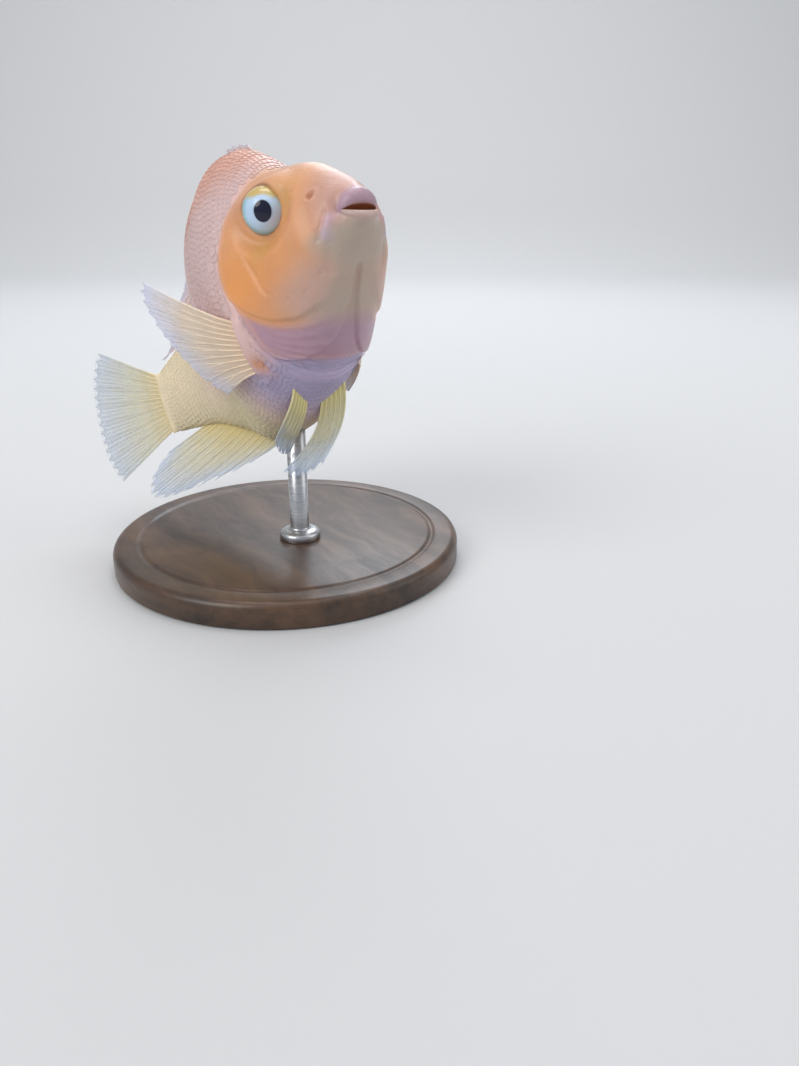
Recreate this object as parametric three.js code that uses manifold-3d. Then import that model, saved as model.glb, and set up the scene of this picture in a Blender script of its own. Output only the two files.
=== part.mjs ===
// A blood parrot cichlid, life size and still: nose up, tail swung to its right, on a plain display stand.
// Millimetres, +Z up. The fish heads along +X with its left flank towards +Y, and the floor is z = 0.
// In the fish's own frame a place is (back, y, z): back runs from the tip of the snout along the spine,
// y is to the fish's left and z is above the mouth. The spine is straight to the middle of the trunk.
import * as THREE from "three";
import { mergeVertices } from "three/addons/utils/BufferGeometryUtils.js";
import Module from "manifold-3d";

// Pose on the stand.
const PITCH = THREE.MathUtils.degToRad(35);
const TAIL_SWING = THREE.MathUtils.degToRad(39);
const SWING_FROM = 66;
const SWING_TO = 119;
const SNOUT_HEIGHT = 111;
const SNOUT_FORWARD = 47;

// The trunk: pairs of distance back from the snout and height or half width there.
const BODY_LENGTH = 120;
const BACK_LINE = [
  [0, 2.0], [3, 7.5], [8, 13.9], [15, 20.4], [22, 25.0], [29, 29.2], [35, 37.2],
  [43, 45.7], [54, 50.5], [68, 49.8], [82, 43.4], [96, 31.1], [108, 18.0], [120, 11.5],
];
const BELLY_LINE = [
  [0, -2.5], [2, -6.3], [7, -10.1], [15, -16.0], [25, -23.4], [38, -27.5],
  [52, -30.6], [66, -33.7], [79, -32.0], [92, -23.4], [106, -14.5], [120, -11.0],
];
const HALF_WIDTH = [
  [0, 3.4], [3, 6.6], [8, 10.2], [15, 13.5], [25, 16.6], [36, 19.8],
  [50, 23.0], [64, 22.0], [78, 16.0], [92, 10.0], [106, 6.0], [120, 3.6],
];
const WIDEST_LEVEL = [[0, 0], [10, -2], [20, -1], [35, 0], [55, 4], [80, 3], [100, 1], [120, 0]];
const UPPER_ROUNDING = 1.18;
const LOWER_ROUNDING = 0.95;
const HEIGHT_ROUNDING = 0.95;

// Gill cover: its rear edge as (height, distance back), and how far its free edge stands over the flank.
const GILL_EDGE = [
  [-28, 33], [-24.5, 36.5], [-21.8, 40.2], [-18, 41.2], [-12, 40.2], [-6, 40.8],
  [1, 41.6], [6, 41.0], [12, 38.4], [18, 35.4], [26, 32.0], [34, 30.0],
];
const GILL_LIFT = 1.2;
const GILL_RAMP = 15;
// The bony lower edge of the cover as (distance back, height), and the slimmer membrane below it.
const BONY_EDGE = [
  [9, -11], [11.3, -13], [14.8, -15.1], [19.4, -17.1], [24.8, -17.5], [31.3, -15.1], [36.3, -10.6], [41, -4],
];
const BONY_STEP = 0.7;
const BONY_STEP_HALF = 1.7;
const ISTHMUS_HALF = [[9, 0.6], [16, 1.1], [22, 2.1], [28.4, 4.1], [34.9, 8.1], [40.8, 13.8]];
const ISTHMUS_DEPTH = 0.9;
const ISTHMUS_EDGE_HALF = 0.6;
const CHEEK_RIDGE = [[-14, 26], [-8.1, 29.4], [-1.2, 30.3], [5.8, 32.2], [12, 33.5]];
const CHEEK_GROOVE = 0.6;
const CHEEK_GROOVE_HALF = 1.3;

// Eyes.
const EYE_BACK = 23.4;
const EYE_HEIGHT = 12.8;
const EYE_RADIUS = 6.3;
const EYE_SUNK = 1.3;
// The orbit is a bowl round the eye, shifted towards the way it looks: ahead, out and down.
const ORBIT = { radius: 6.9, shift: 2.2, look: [0.62, 0.62, -0.4] };
const EYE_RIM = { lift: 0.7, radius: 7.2, half: 1.8, flatten: 1.1 };

// Mouth, lips and nostrils. The lips run round the front of the snout, over a span to each side, and the
// opening between them sags in the middle.
const MOUTH_HALF = 5.2;
const MOUTH_WRAP = 4.0;
const MOUTH_SPAN = 1.45;
const MOUTH_LEVEL = -2.4;
const MOUTH_CORNER = -1.3;
const MOUTH_GAPE = 1.9;
const MOUTH_CORNER_HALF = 0.12;
const MOUTH_FRONT = 4;
const MOUTH_DEPTH = 7.5;
const LIP_DEPTH_SHARE = 0.9;
const UPPER_LIP = { level: 0.7, corner: -0.6, thick: 1.9, thin: 1.0 };
const LOWER_LIP = { level: -4.6, corner: -2.1, thick: 1.35, thin: 0.9 };
const NOSTRIL = { back: 8.2, height: 6.0, radius: 0.9 };

// Where the trunk is parted, and the gap that neighbours keep.
const STALK_FROM = 98;
const GAP = 0.3;
// The part of the body that the head is cut from, and the length of the trunk's own sections.
const HEAD_TO = 48;
const TRUNK_FROM = 26;
const SNOUT_TO = 5;

// Fins: half thicknesses of the membrane and of a ray at its root.
const MEMBRANE_HALF = 0.27;
const RAY_HALF = 0.34;
const ROOT_SUNK = 2.2;
const RAY_FOOT = 0.24;
const RAY_TAPER = 0.65;
const EDGE_SHARE = 0.6;

// Stand.
const BASE_RADIUS = 56;
const BASE_THICKNESS = 8;
const BASE_ROUNDING = 2.5;
const BASE_CHAMFER = 0.6;
const ROD_RADIUS = 3;
const ROD_BACK = 71;
const COLLAR_RADIUS = 6.5;
const COLLAR_HEIGHT = 3;
const COLLAR_STRAIGHT_SHARE = 0.6;
const COLLAR_TOP_SHARE = 0.85;
const ROD_REACH = 91;

// Facets round a section.
const HEAD_AROUND = 60;
const TRUNK_AROUND = 44;
const CLEARANCE_AROUND = 40;
const EYE_AROUND = 16;
const SOCKET_AROUND = 18;
const NOSTRIL_AROUND = 10;
const BASE_AROUND = 48;
const ROD_AROUND = 20;

const wasm = await Module();
wasm.setup();

const lerp = THREE.MathUtils.lerp;
const clamp = THREE.MathUtils.clamp;
const smoothstep = THREE.MathUtils.smoothstep;

// A smooth curve through points that keeps their rises and falls.
function curveThrough(points) {
  const at = points.map((p) => p[0]);
  const value = points.map((p) => p[1]);
  const slope = at.slice(1).map((x, i) => (value[i + 1] - value[i]) / (x - at[i]));
  const tangent = at.map((_, i) => {
    if (i === 0) return slope[0];
    if (i === at.length - 1) return slope[i - 1];
    const product = slope[i - 1] * slope[i];
    return product <= 0 ? 0 : (2 * product) / (slope[i - 1] + slope[i]);
  });
  return (x) => {
    const inside = clamp(x, at[0], at[at.length - 1]);
    let i = 0;
    while (i < at.length - 2 && inside > at[i + 1]) i += 1;
    const step = at[i + 1] - at[i];
    const u = (inside - at[i]) / step;
    const rise = (1 - u) * (1 - u);
    const fall = u * u;
    return (
      (1 + 2 * u) * rise * value[i] + u * rise * step * tangent[i] +
      (3 - 2 * u) * fall * value[i + 1] - (1 - u) * fall * step * tangent[i + 1]
    );
  };
}

const backLine = curveThrough(BACK_LINE);
const bellyLine = curveThrough(BELLY_LINE);
const halfWidth = curveThrough(HALF_WIDTH);
const widestLevel = curveThrough(WIDEST_LEVEL);
const gillEdge = curveThrough(GILL_EDGE);
const bonyEdge = curveThrough(BONY_EDGE);
const isthmusHalf = curveThrough(ISTHMUS_HALF);
const cheekRidge = curveThrough(CHEEK_RIDGE);

// The spine, stepped along its swing to the right.
const SPINE_STEP = 0.5;
const spine = [{ x: 0, y: 0, turn: 0 }];
for (let back = 0; back < 200; back += SPINE_STEP) {
  const last = spine[spine.length - 1];
  spine.push({
    x: last.x - Math.cos(last.turn) * SPINE_STEP,
    y: last.y - Math.sin(last.turn) * SPINE_STEP,
    turn: TAIL_SWING * smoothstep(back + SPINE_STEP, SWING_FROM, SWING_TO),
  });
}

function place(back, y, z) {
  if (back <= 0) return new THREE.Vector3(-back, y, z);
  const step = Math.min(back / SPINE_STEP, spine.length - 1.001);
  const a = spine[Math.floor(step)];
  const b = spine[Math.floor(step) + 1];
  const share = step - Math.floor(step);
  const turn = lerp(a.turn, b.turn, share);
  return new THREE.Vector3(
    lerp(a.x, b.x, share) - y * Math.sin(turn),
    lerp(a.y, b.y, share) + y * Math.cos(turn),
    z,
  );
}

// A point of the plain body, at an angle round the section that starts at the left flank and goes up.
function bodyPoint(back, angle, grow = 0) {
  const c = Math.cos(angle);
  const s = Math.sin(angle);
  const level = widestLevel(back);
  const reach = s >= 0 ? backLine(back) - level + grow : level - bellyLine(back) + grow;
  const rounding = s >= 0 ? UPPER_ROUNDING : LOWER_ROUNDING;
  return {
    back,
    y: (halfWidth(back) + grow) * Math.sign(c) * Math.abs(c) ** rounding,
    z: level + Math.sign(s) * reach * Math.abs(s) ** HEIGHT_ROUNDING,
  };
}

// Half the body's width at a distance back and a height.
function flank(back, z) {
  const level = widestLevel(back);
  const reach = z >= level ? backLine(back) - level : level - bellyLine(back);
  const s = clamp(Math.abs(z - level) / reach, 0, 1) ** (1 / HEIGHT_ROUNDING);
  const rounding = z >= level ? UPPER_ROUNDING : LOWER_ROUNDING;
  return halfWidth(back) * Math.sqrt(1 - s * s) ** rounding;
}

// How far the head's features stand out of the plain body, or sink into it.
function headRelief({ back, y, z }) {
  const ahead = gillEdge(z) - back;
  const sides = smoothstep(-z, -25, -14);
  const cover = GILL_LIFT * sides * (1 - smoothstep(ahead, 0, GILL_RAMP));
  const aboveBony = smoothstep(z - bonyEdge(back), -BONY_STEP_HALF, BONY_STEP_HALF);
  const bony = BONY_STEP * aboveBony * smoothstep(back, 9, 14) * sides;
  const underside = smoothstep(-z, 9, 12) * smoothstep(back, 9, 12);
  const middle = isthmusHalf(back);
  const beside = smoothstep(Math.abs(y), middle - ISTHMUS_EDGE_HALF, middle + ISTHMUS_EDGE_HALF);
  const isthmus = -ISTHMUS_DEPTH * underside * (1 - beside);
  const fromRidge = (back - cheekRidge(z)) / CHEEK_GROOVE_HALF;
  const grooved = smoothstep(z, -15, -10) * smoothstep(-z, -14, -8);
  const groove = -CHEEK_GROOVE * Math.exp(-(fromRidge ** 2)) * grooved;
  const fromEye = Math.hypot(back - EYE_BACK, (z - EYE_HEIGHT) * EYE_RIM.flatten);
  const rim = EYE_RIM.lift * Math.exp(-(((fromEye - EYE_RIM.radius) / EYE_RIM.half) ** 2));
  return cover + bony + isthmus + groove + rim;
}

// Solids from closed rings of points, with both ends closed.
function solidOf(points, triangles) {
  return new wasm.Manifold(
    new wasm.Mesh({
      numProp: 3,
      vertProperties: new Float32Array(points.flatMap((p) => [p.x, p.y, p.z])),
      triVerts: new Uint32Array(triangles.flat()),
    }),
  );
}

function facingOut(points, triangles) {
  const made = solidOf(points, triangles);
  return made.volume() > 0 ? made : solidOf(points, triangles.map(([a, b, c]) => [a, c, b]));
}

function ringSolid(rings) {
  const round = rings[0].length;
  const points = rings.flat();
  const triangles = [];
  for (let i = 0; i + 1 < rings.length; i += 1)
    for (let j = 0; j < round; j += 1) {
      const a = i * round + j;
      const b = i * round + ((j + 1) % round);
      triangles.push([a, a + round, b + round], [a, b + round, b]);
    }
  for (const [ring, out] of [[0, true], [rings.length - 1, false]]) {
    const centre = points.length;
    points.push(rings[ring].reduce((sum, p) => sum.add(p), new THREE.Vector3()).divideScalar(round));
    for (let j = 0; j < round; j += 1) {
      const a = ring * round + j;
      const b = ring * round + ((j + 1) % round);
      triangles.push(out ? [centre, a, b] : [centre, b, a]);
    }
  }
  return facingOut(points, triangles);
}

// A thin vane from rows of middle points, each row with the same number of places across. Both faces are
// split alike.
function vaneSolid(rows, halfThickness) {
  const across = rows[0].length;
  const normal = (i, j) => {
    const along = rows[Math.min(i + 1, rows.length - 1)][j].clone().sub(rows[Math.max(i - 1, 0)][j]);
    const aside = rows[i][Math.min(j + 1, across - 1)].clone().sub(rows[i][Math.max(j - 1, 0)]);
    return along.cross(aside).normalize();
  };
  const faces = [1, -1].map((side) =>
    rows.flatMap((row, i) =>
      row.map((p, j) => p.clone().addScaledVector(normal(i, j), side * halfThickness(i, j))),
    ),
  );
  const count = rows.length * across;
  const triangles = [];
  for (let i = 0; i + 1 < rows.length; i += 1)
    for (let j = 0; j + 1 < across; j += 1) {
      const a = i * across + j;
      const b = a + across;
      triangles.push([a, b, b + 1], [a, b + 1, a + 1]);
      triangles.push([count + a, count + b + 1, count + b], [count + a, count + a + 1, count + b + 1]);
    }
  const wall = (a, b) => triangles.push([a, b + count, b], [a, a + count, b + count]);
  for (let j = 0; j + 1 < across; j += 1) {
    wall(j + 1, j);
    wall((rows.length - 1) * across + j, (rows.length - 1) * across + j + 1);
  }
  for (let i = 0; i + 1 < rows.length; i += 1) {
    wall(i * across, (i + 1) * across);
    wall((i + 2) * across - 1, (i + 1) * across - 1);
  }
  return facingOut(faces.flat(), triangles);
}

// A rayed fin: each ray gets three places across, its ridge and its two feet, and the membrane lies between.
function rayedFin({ rays, rows, rayAt, notch, stiffness = 1 }) {
  const columns = [];
  for (let k = 0; k < rays; k += 1) {
    if (k > 0) columns.push({ at: k - RAY_FOOT, ridge: 0 });
    columns.push({ at: k, ridge: 1 });
    if (k < rays - 1) columns.push({ at: k + RAY_FOOT, ridge: 0 });
  }
  const grid = [];
  for (let i = 0; i <= rows; i += 1) {
    const along = i / rows;
    grid.push(
      columns.map(({ at, ridge }) => {
        const u = at / (rays - 1);
        const reach = along * (ridge ? 1 : 1 - notch(u));
        return rayAt(u, reach);
      }),
    );
  }
  const half = (i, j) => {
    const taper = 1 - RAY_TAPER * (i / rows);
    return MEMBRANE_HALF * (i === rows ? EDGE_SHARE : 1) + RAY_HALF * stiffness * columns[j].ridge * taper;
  };
  return vaneSolid(grid, half);
}

// Geometry and solids of three.js shapes.
function solidFromGeometry(geometry) {
  const plain = geometry.clone();
  plain.deleteAttribute("normal");
  plain.deleteAttribute("uv");
  const merged = mergeVertices(plain, 1e-3);
  return new wasm.Manifold(
    new wasm.Mesh({
      numProp: 3,
      vertProperties: merged.attributes.position.array,
      triVerts: new Uint32Array(merged.index.array),
    }),
  );
}

function largest(solid) {
  return solid.decompose().reduce((best, body) => (body.volume() > best.volume() ? body : best));
}

function meshOf(name, solid, material) {
  const { vertProperties, triVerts } = largest(solid).getMesh();
  const geometry = new THREE.BufferGeometry();
  geometry.setAttribute("position", new THREE.BufferAttribute(vertProperties, 3));
  geometry.setIndex(new THREE.BufferAttribute(triVerts, 1));
  geometry.computeVertexNormals();
  const mesh = new THREE.Mesh(geometry, material);
  mesh.name = name;
  return mesh;
}

function finish(color, roughness, metalness = 0) {
  return new THREE.MeshStandardMaterial({ color, roughness, metalness });
}

// Trunk.
function rings(from, to, count, round, pointAt) {
  const made = [];
  for (let i = 0; i <= count; i += 1) {
    const back = lerp(from, to, i / count);
    const ring = [];
    for (let j = 0; j < round; j += 1) ring.push(pointAt(back, (2 * Math.PI * j) / round));
    made.push(ring);
  }
  return made;
}

const plainPoint = (grow) => (back, angle) => {
  const p = bodyPoint(back, angle, grow);
  return place(p.back, p.y, p.z);
};

// A point of the head: the plain body's, moved along its outward direction by the relief there.
const NORMAL_STEP = 0.4;
const NORMAL_TURN = 0.02;
function headPoint(back, angle) {
  const p = bodyPoint(back, angle);
  const ahead = bodyPoint(back + NORMAL_STEP, angle);
  const behind = bodyPoint(Math.max(back - NORMAL_STEP, 0), angle);
  const beside = bodyPoint(back, angle + NORMAL_TURN);
  const here = new THREE.Vector3(-p.back, p.y, p.z);
  const along = new THREE.Vector3(behind.back - ahead.back, ahead.y - behind.y, ahead.z - behind.z);
  const aside = new THREE.Vector3(0, beside.y - p.y, beside.z - p.z);
  const out = aside.cross(along).normalize();
  if (out.dot(new THREE.Vector3(0, p.y, p.z - widestLevel(back))) < 0) out.negate();
  return here.addScaledVector(out, headRelief(p));
}

// All that lies ahead of the gill cover's rear edge, moved back by a margin.
const CUTTER = { front: 20, low: -70, high: 90, half: 60 };
function aheadOfGills(margin) {
  const outline = new THREE.Shape();
  const lowest = GILL_EDGE[0][0];
  const highest = GILL_EDGE[GILL_EDGE.length - 1][0];
  outline.moveTo(CUTTER.front, CUTTER.low);
  outline.lineTo(-gillEdge(lowest) - margin, CUTTER.low);
  for (let z = lowest; z <= highest; z += 2) outline.lineTo(-gillEdge(z) - margin, z);
  outline.lineTo(-gillEdge(highest) - margin, CUTTER.high);
  outline.lineTo(CUTTER.front, CUTTER.high);
  const geometry = new THREE.ExtrudeGeometry(outline, { depth: 2 * CUTTER.half, bevelEnabled: false });
  geometry.rotateX(Math.PI / 2);
  geometry.translate(0, CUTTER.half, 0);
  return solidFromGeometry(geometry);
}

// All that lies behind a distance back, square to the spine there.
function slabBehind(back) {
  const long = 2 * CUTTER.half;
  const geometry = new THREE.BoxGeometry(long, 2 * CUTTER.high, 2 * CUTTER.high);
  geometry.translate(-long / 2, 0, 0);
  const spot = place(back, 0, 0);
  const next = place(back + 1, 0, 0);
  geometry.rotateZ(Math.atan2(spot.y - next.y, spot.x - next.x));
  geometry.translate(spot.x, spot.y, 0);
  return solidFromGeometry(geometry);
}

// The plain body grown by the gap, which clears what stands on it.
const grownBody = ringSolid([
  ...rings(0, 12, 6, CLEARANCE_AROUND, plainPoint(GAP)),
  ...rings(15, BODY_LENGTH + GAP, 34, CLEARANCE_AROUND, plainPoint(GAP)),
]);

// Eyes and their sockets.
function eyeCentre(side) {
  const y = flank(EYE_BACK, EYE_HEIGHT);
  const slopeBack = (flank(EYE_BACK + 1, EYE_HEIGHT) - flank(EYE_BACK - 1, EYE_HEIGHT)) / 2;
  const slopeUp = (flank(EYE_BACK, EYE_HEIGHT + 1) - flank(EYE_BACK, EYE_HEIGHT - 1)) / 2;
  const out = new THREE.Vector3(slopeBack, 1, -slopeUp).normalize();
  const centre = new THREE.Vector3(-EYE_BACK, y, EYE_HEIGHT).addScaledVector(out, -EYE_SUNK);
  centre.y *= side;
  return centre;
}

function orbitCentre(side) {
  const [ahead, out, up] = ORBIT.look;
  return eyeCentre(side).addScaledVector(new THREE.Vector3(ahead, side * out, up).normalize(), ORBIT.shift);
}

function ball(radius, centre, around) {
  const geometry = new THREE.SphereGeometry(radius, around, Math.round(around * 0.7));
  geometry.rotateX(Math.PI / 2);
  geometry.translate(centre.x, centre.y, centre.z);
  return solidFromGeometry(geometry);
}

// Lips: a tube round the front of the snout from corner to corner.
function lip({ level, corner, thick, thin }) {
  const made = [];
  const stations = 14;
  const sides = 10;
  for (let i = 0; i <= stations; i += 1) {
    const a = lerp(-1, 1, i / stations) * MOUTH_SPAN;
    const centre = new THREE.Vector3(
      -MOUTH_WRAP * (1 - Math.cos(a)),
      MOUTH_HALF * Math.sin(a),
      lerp(corner, level, Math.cos(a)),
    );
    const forward = new THREE.Vector3(Math.cos(a), Math.sin(a), 0);
    const radius = lerp(thin, thick, Math.cos(a));
    const ring = [];
    for (let j = 0; j < sides; j += 1) {
      const t = (2 * Math.PI * j) / sides;
      const up = new THREE.Vector3(0, 0, radius * Math.sin(t));
      ring.push(centre.clone().addScaledVector(forward, radius * LIP_DEPTH_SHARE * Math.cos(t)).add(up));
    }
    made.push(ring);
  }
  return ringSolid(made);
}

// The opening between the lips, which narrows to each corner.
function mouthCut() {
  const made = [];
  const stations = 12;
  const sides = 12;
  for (let i = 0; i <= stations; i += 1) {
    const a = lerp(-1, 1, i / stations) * MOUTH_SPAN;
    const half = (MOUTH_GAPE / 2) * Math.cos(a) + MOUTH_CORNER_HALF;
    const inward = 1 - 0.25 * Math.abs(Math.sin(a));
    const ring = [];
    for (let j = 0; j < sides; j += 1) {
      const t = (2 * Math.PI * j) / sides;
      ring.push(
        new THREE.Vector3(
          lerp(MOUTH_FRONT, -MOUTH_DEPTH, (1 - Math.cos(t)) / 2) * inward,
          MOUTH_HALF * Math.sin(a),
          lerp(MOUTH_CORNER, MOUTH_LEVEL, Math.cos(a)) + half * Math.sin(t),
        ),
      );
    }
    made.push(ring);
  }
  return ringSolid(made);
}

function headSolid() {
  let head = ringSolid([
    ...rings(0, SNOUT_TO, 4, HEAD_AROUND, headPoint),
    ...rings(SNOUT_TO + 1.6, HEAD_TO, 24, HEAD_AROUND, headPoint),
  ]).intersect(aheadOfGills(0));
  head = head.add(lip(UPPER_LIP)).add(lip(LOWER_LIP)).subtract(mouthCut());
  for (const side of [1, -1]) {
    const pit = new THREE.Vector3(-NOSTRIL.back, side * flank(NOSTRIL.back, NOSTRIL.height), NOSTRIL.height);
    head = head.subtract(ball(EYE_RADIUS + GAP, eyeCentre(side), SOCKET_AROUND));
    head = head.subtract(ball(ORBIT.radius, orbitCentre(side), SOCKET_AROUND));
    head = head.subtract(ball(NOSTRIL.radius, pit, NOSTRIL_AROUND));
  }
  return head;
}

function trunkSolid() {
  return ringSolid(rings(TRUNK_FROM, BODY_LENGTH, 34, TRUNK_AROUND, plainPoint(0)));
}

const torso = trunkSolid().subtract(aheadOfGills(GAP)).subtract(slabBehind(STALK_FROM - GAP));
const tailStalk = trunkSolid().intersect(slabBehind(STALK_FROM));

// Fins along the middle of the body: a ray leaves a line of the body at an angle below or above straight back.
const clearOfBody = (fin) => fin.subtract(grownBody).subtract(aheadOfGills(GAP));

function medianRay(back, z, angle, length, reach) {
  const run = lerp(-ROOT_SUNK, length, reach);
  return place(back + run * Math.cos(angle), 0, z + run * Math.sin(angle));
}

const DORSAL = { from: 40, to: 109, spines: 15, rays: 23, lift: 0.36 };
const dorsalLength = curveThrough([
  [0, 4], [0.1, 6], [0.45, 9.5], [0.62, 12.5], [0.82, 16], [0.93, 14], [1, 10],
]);
function dorsalFin() {
  const rayAt = (u, reach) => {
    const back = lerp(DORSAL.from, DORSAL.to, u);
    const slope = Math.atan2(backLine(back + 1) - backLine(back - 1), 2);
    const angle = slope + DORSAL.lift * lerp(1.15, 1, u);
    return medianRay(back, backLine(back), angle, dorsalLength(u), reach);
  };
  const spiny = DORSAL.spines / DORSAL.rays;
  const notch = (u) => (u < spiny ? 0.3 : 0.06);
  return clearOfBody(rayedFin({ rays: DORSAL.rays, rows: 3, rayAt, notch, stiffness: 1.1 }));
}

const ANAL = { from: 79, to: 110, rays: 14 };
const analLength = curveThrough([[0, 11], [0.15, 22], [0.35, 34], [0.62, 41], [0.85, 32], [1, 17]]);
const analDrop = curveThrough([[0, 0.04], [0.3, 0.18], [0.6, 0.24], [0.85, 0.22], [1, 0.16]]);
function analFin() {
  const rayAt = (u, reach) => {
    const back = lerp(ANAL.from, ANAL.to, u);
    return medianRay(back, bellyLine(back), -analDrop(u), analLength(u), reach);
  };
  const notch = (u) => (u < 0.4 ? 0.14 : 0.06);
  return clearOfBody(rayedFin({ rays: ANAL.rays, rows: 5, rayAt, notch, stiffness: 1.1 }));
}

const CAUDAL = { rays: 16, half: 8.5, spread: 0.54, lift: 0.2, length: 33, wave: 1.2, sunk: 1.5 };
function caudalFin() {
  const rayAt = (u, reach) => {
    const across = 2 * u - 1;
    const length = CAUDAL.length * (1 - 0.1 * Math.abs(across) ** 3 - 0.03 * Math.cos(across * 2));
    const angle = CAUDAL.spread * across + CAUDAL.lift;
    const run = lerp(-CAUDAL.sunk, length, reach);
    return place(
      BODY_LENGTH + run * Math.cos(angle),
      CAUDAL.wave * Math.sin(reach * 2.4) * (1 - across * across),
      CAUDAL.half * across + run * Math.sin(angle),
    );
  };
  return clearOfBody(rayedFin({ rays: CAUDAL.rays, rows: 4, rayAt, notch: () => 0.05 }));
}

// Paired fins: a base line and the runs of the first, middle and last ray, as (back, out, up).
const PECTORAL_BASE = [[43.9, -9.5], [46.2, -15.4], [49, -21]];
const PECTORAL_SPREAD = [[20, 16.5, 29], [24.5, 10.5, 16], [17.5, 3.4, 0]];
const PECTORAL_FOLDED = [[31, 2.4, 9], [29, 1.6, 1], [18, 1.2, -5]];
const PECTORAL_RAYS = 12;
// The fleshy base lifts a paired fin clear of the flank over the first part of its rays, which then bulge.
const BASE_LIFT = 1.9;
const PECTORAL_BULGE = 1.6;

function threeWay(values, u) {
  const [a, b, c] = values;
  return a.map((_, i) => (1 - u) * (1 - 2 * u) * a[i] + 4 * u * (1 - u) * b[i] + u * (2 * u - 1) * c[i]);
}

function pectoralFin(side, spread) {
  const rayAt = (u, reach) => {
    const [back, z] = threeWay(PECTORAL_BASE, u);
    const [run, out, up] = threeWay(spread, u);
    const rounded = 1 - 0.16 * (2 * u - 1) ** 4;
    const share = lerp(-0.06, rounded, reach);
    const bulge = PECTORAL_BULGE * Math.sin(Math.PI * clamp(share, 0, 1));
    const lifted = BASE_LIFT * (clamp(share * 6, -0.6, 1) - 0.4);
    const y = flank(back, z) + lifted + share * out + bulge;
    return place(back + share * run, side * y, z + share * up);
  };
  return clearOfBody(rayedFin({ rays: PECTORAL_RAYS, rows: 5, rayAt, notch: () => 0.05, stiffness: 0.8 }));
}

const PELVIC_RAYS = 6;
const PELVIC_SUNK = 0.6;
// Each side's own base, as distances back and out, and the runs of its outer and inner ray.
const PELVIC = {
  right: { base: [[48.5, 8], [53, 3]], runs: [[20, 1.4, -9], [20, 0.2, -9]], bow: 0.6, drop: 2.2 },
  left: { base: [[49, 9], [54, 2.6]], runs: [[19, -5.5, -19], [20, -9.5, -14]], bow: 3.0, drop: 1.0 },
};
function pelvicFin(side, { base, runs, bow, drop }) {
  const rayAt = (u, reach) => {
    const back = lerp(base[0][0], base[1][0], u);
    const out = lerp(base[0][1], base[1][1], u);
    const fullness = 1 + 0.1 * Math.sin(Math.PI * u);
    const share = lerp(-0.1, fullness, reach);
    const bulge = bow * Math.sin(Math.PI * clamp(share, 0, 1));
    const level = widestLevel(back);
    const under = level + (bellyLine(back) - level) * Math.sqrt(1 - (out / halfWidth(back)) ** 2);
    const sag = drop * Math.sin(Math.PI * clamp(share, 0, 1) ** 0.6);
    const [run, aside, fall] = runs[0].map((first, i) => lerp(first, runs[1][i], u));
    return place(
      back + share * run,
      side * (out + share * aside + bulge),
      under + PELVIC_SUNK + share * fall - sag,
    );
  };
  return clearOfBody(rayedFin({ rays: PELVIC_RAYS, rows: 6, rayAt, notch: () => 0.05, stiffness: 0.9 }));
}

// The fish in its pose.
const fish = new THREE.Group();
fish.rotation.y = -PITCH;
fish.position.set(SNOUT_FORWARD, 0, SNOUT_HEIGHT);
fish.updateMatrixWorld(true);

const flesh = finish(0xf0a070, 0.55);
const rearFlesh = finish(0xe8b7a0, 0.55);
const finRays = finish(0xd9c27a, 0.5);
const paleFin = finish(0xd8c4b8, 0.45);
const eyeGloss = finish(0xbfe0ee, 0.15);
fish.add(meshOf("head", headSolid(), flesh));
fish.add(meshOf("torso", torso, rearFlesh));
fish.add(meshOf("tail_stalk", tailStalk, rearFlesh));
fish.add(meshOf("dorsal_fin", dorsalFin(), paleFin));
fish.add(meshOf("anal_fin", analFin(), finRays));
fish.add(meshOf("caudal_fin", caudalFin(), finRays));
fish.add(meshOf("pectoral_fin_right", pectoralFin(-1, PECTORAL_SPREAD), paleFin));
fish.add(meshOf("pectoral_fin_left", pectoralFin(1, PECTORAL_FOLDED), paleFin));
fish.add(meshOf("pelvic_fin_right", pelvicFin(-1, PELVIC.right), finRays));
fish.add(meshOf("pelvic_fin_left", pelvicFin(1, PELVIC.left), finRays));
fish.add(meshOf("eye_right", ball(EYE_RADIUS, eyeCentre(-1), EYE_AROUND), eyeGloss));
fish.add(meshOf("eye_left", ball(EYE_RADIUS, eyeCentre(1), EYE_AROUND), eyeGloss));

// The stand: a round base with softened edges, and a rod with a collar at its foot.
function standBase() {
  const profile = [
    new THREE.Vector2(0, 0),
    new THREE.Vector2(BASE_RADIUS - BASE_CHAMFER, 0),
    new THREE.Vector2(BASE_RADIUS, BASE_CHAMFER),
  ];
  for (let i = 0; i <= 4; i += 1) {
    const a = (i / 4) * (Math.PI / 2);
    profile.push(
      new THREE.Vector2(
        BASE_RADIUS - BASE_ROUNDING * (1 - Math.cos(a)),
        BASE_THICKNESS - BASE_ROUNDING * (1 - Math.sin(a)),
      ),
    );
  }
  profile.push(new THREE.Vector2(0, BASE_THICKNESS));
  const geometry = new THREE.LatheGeometry(profile, BASE_AROUND);
  geometry.rotateX(Math.PI / 2);
  return solidFromGeometry(geometry);
}

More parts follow.
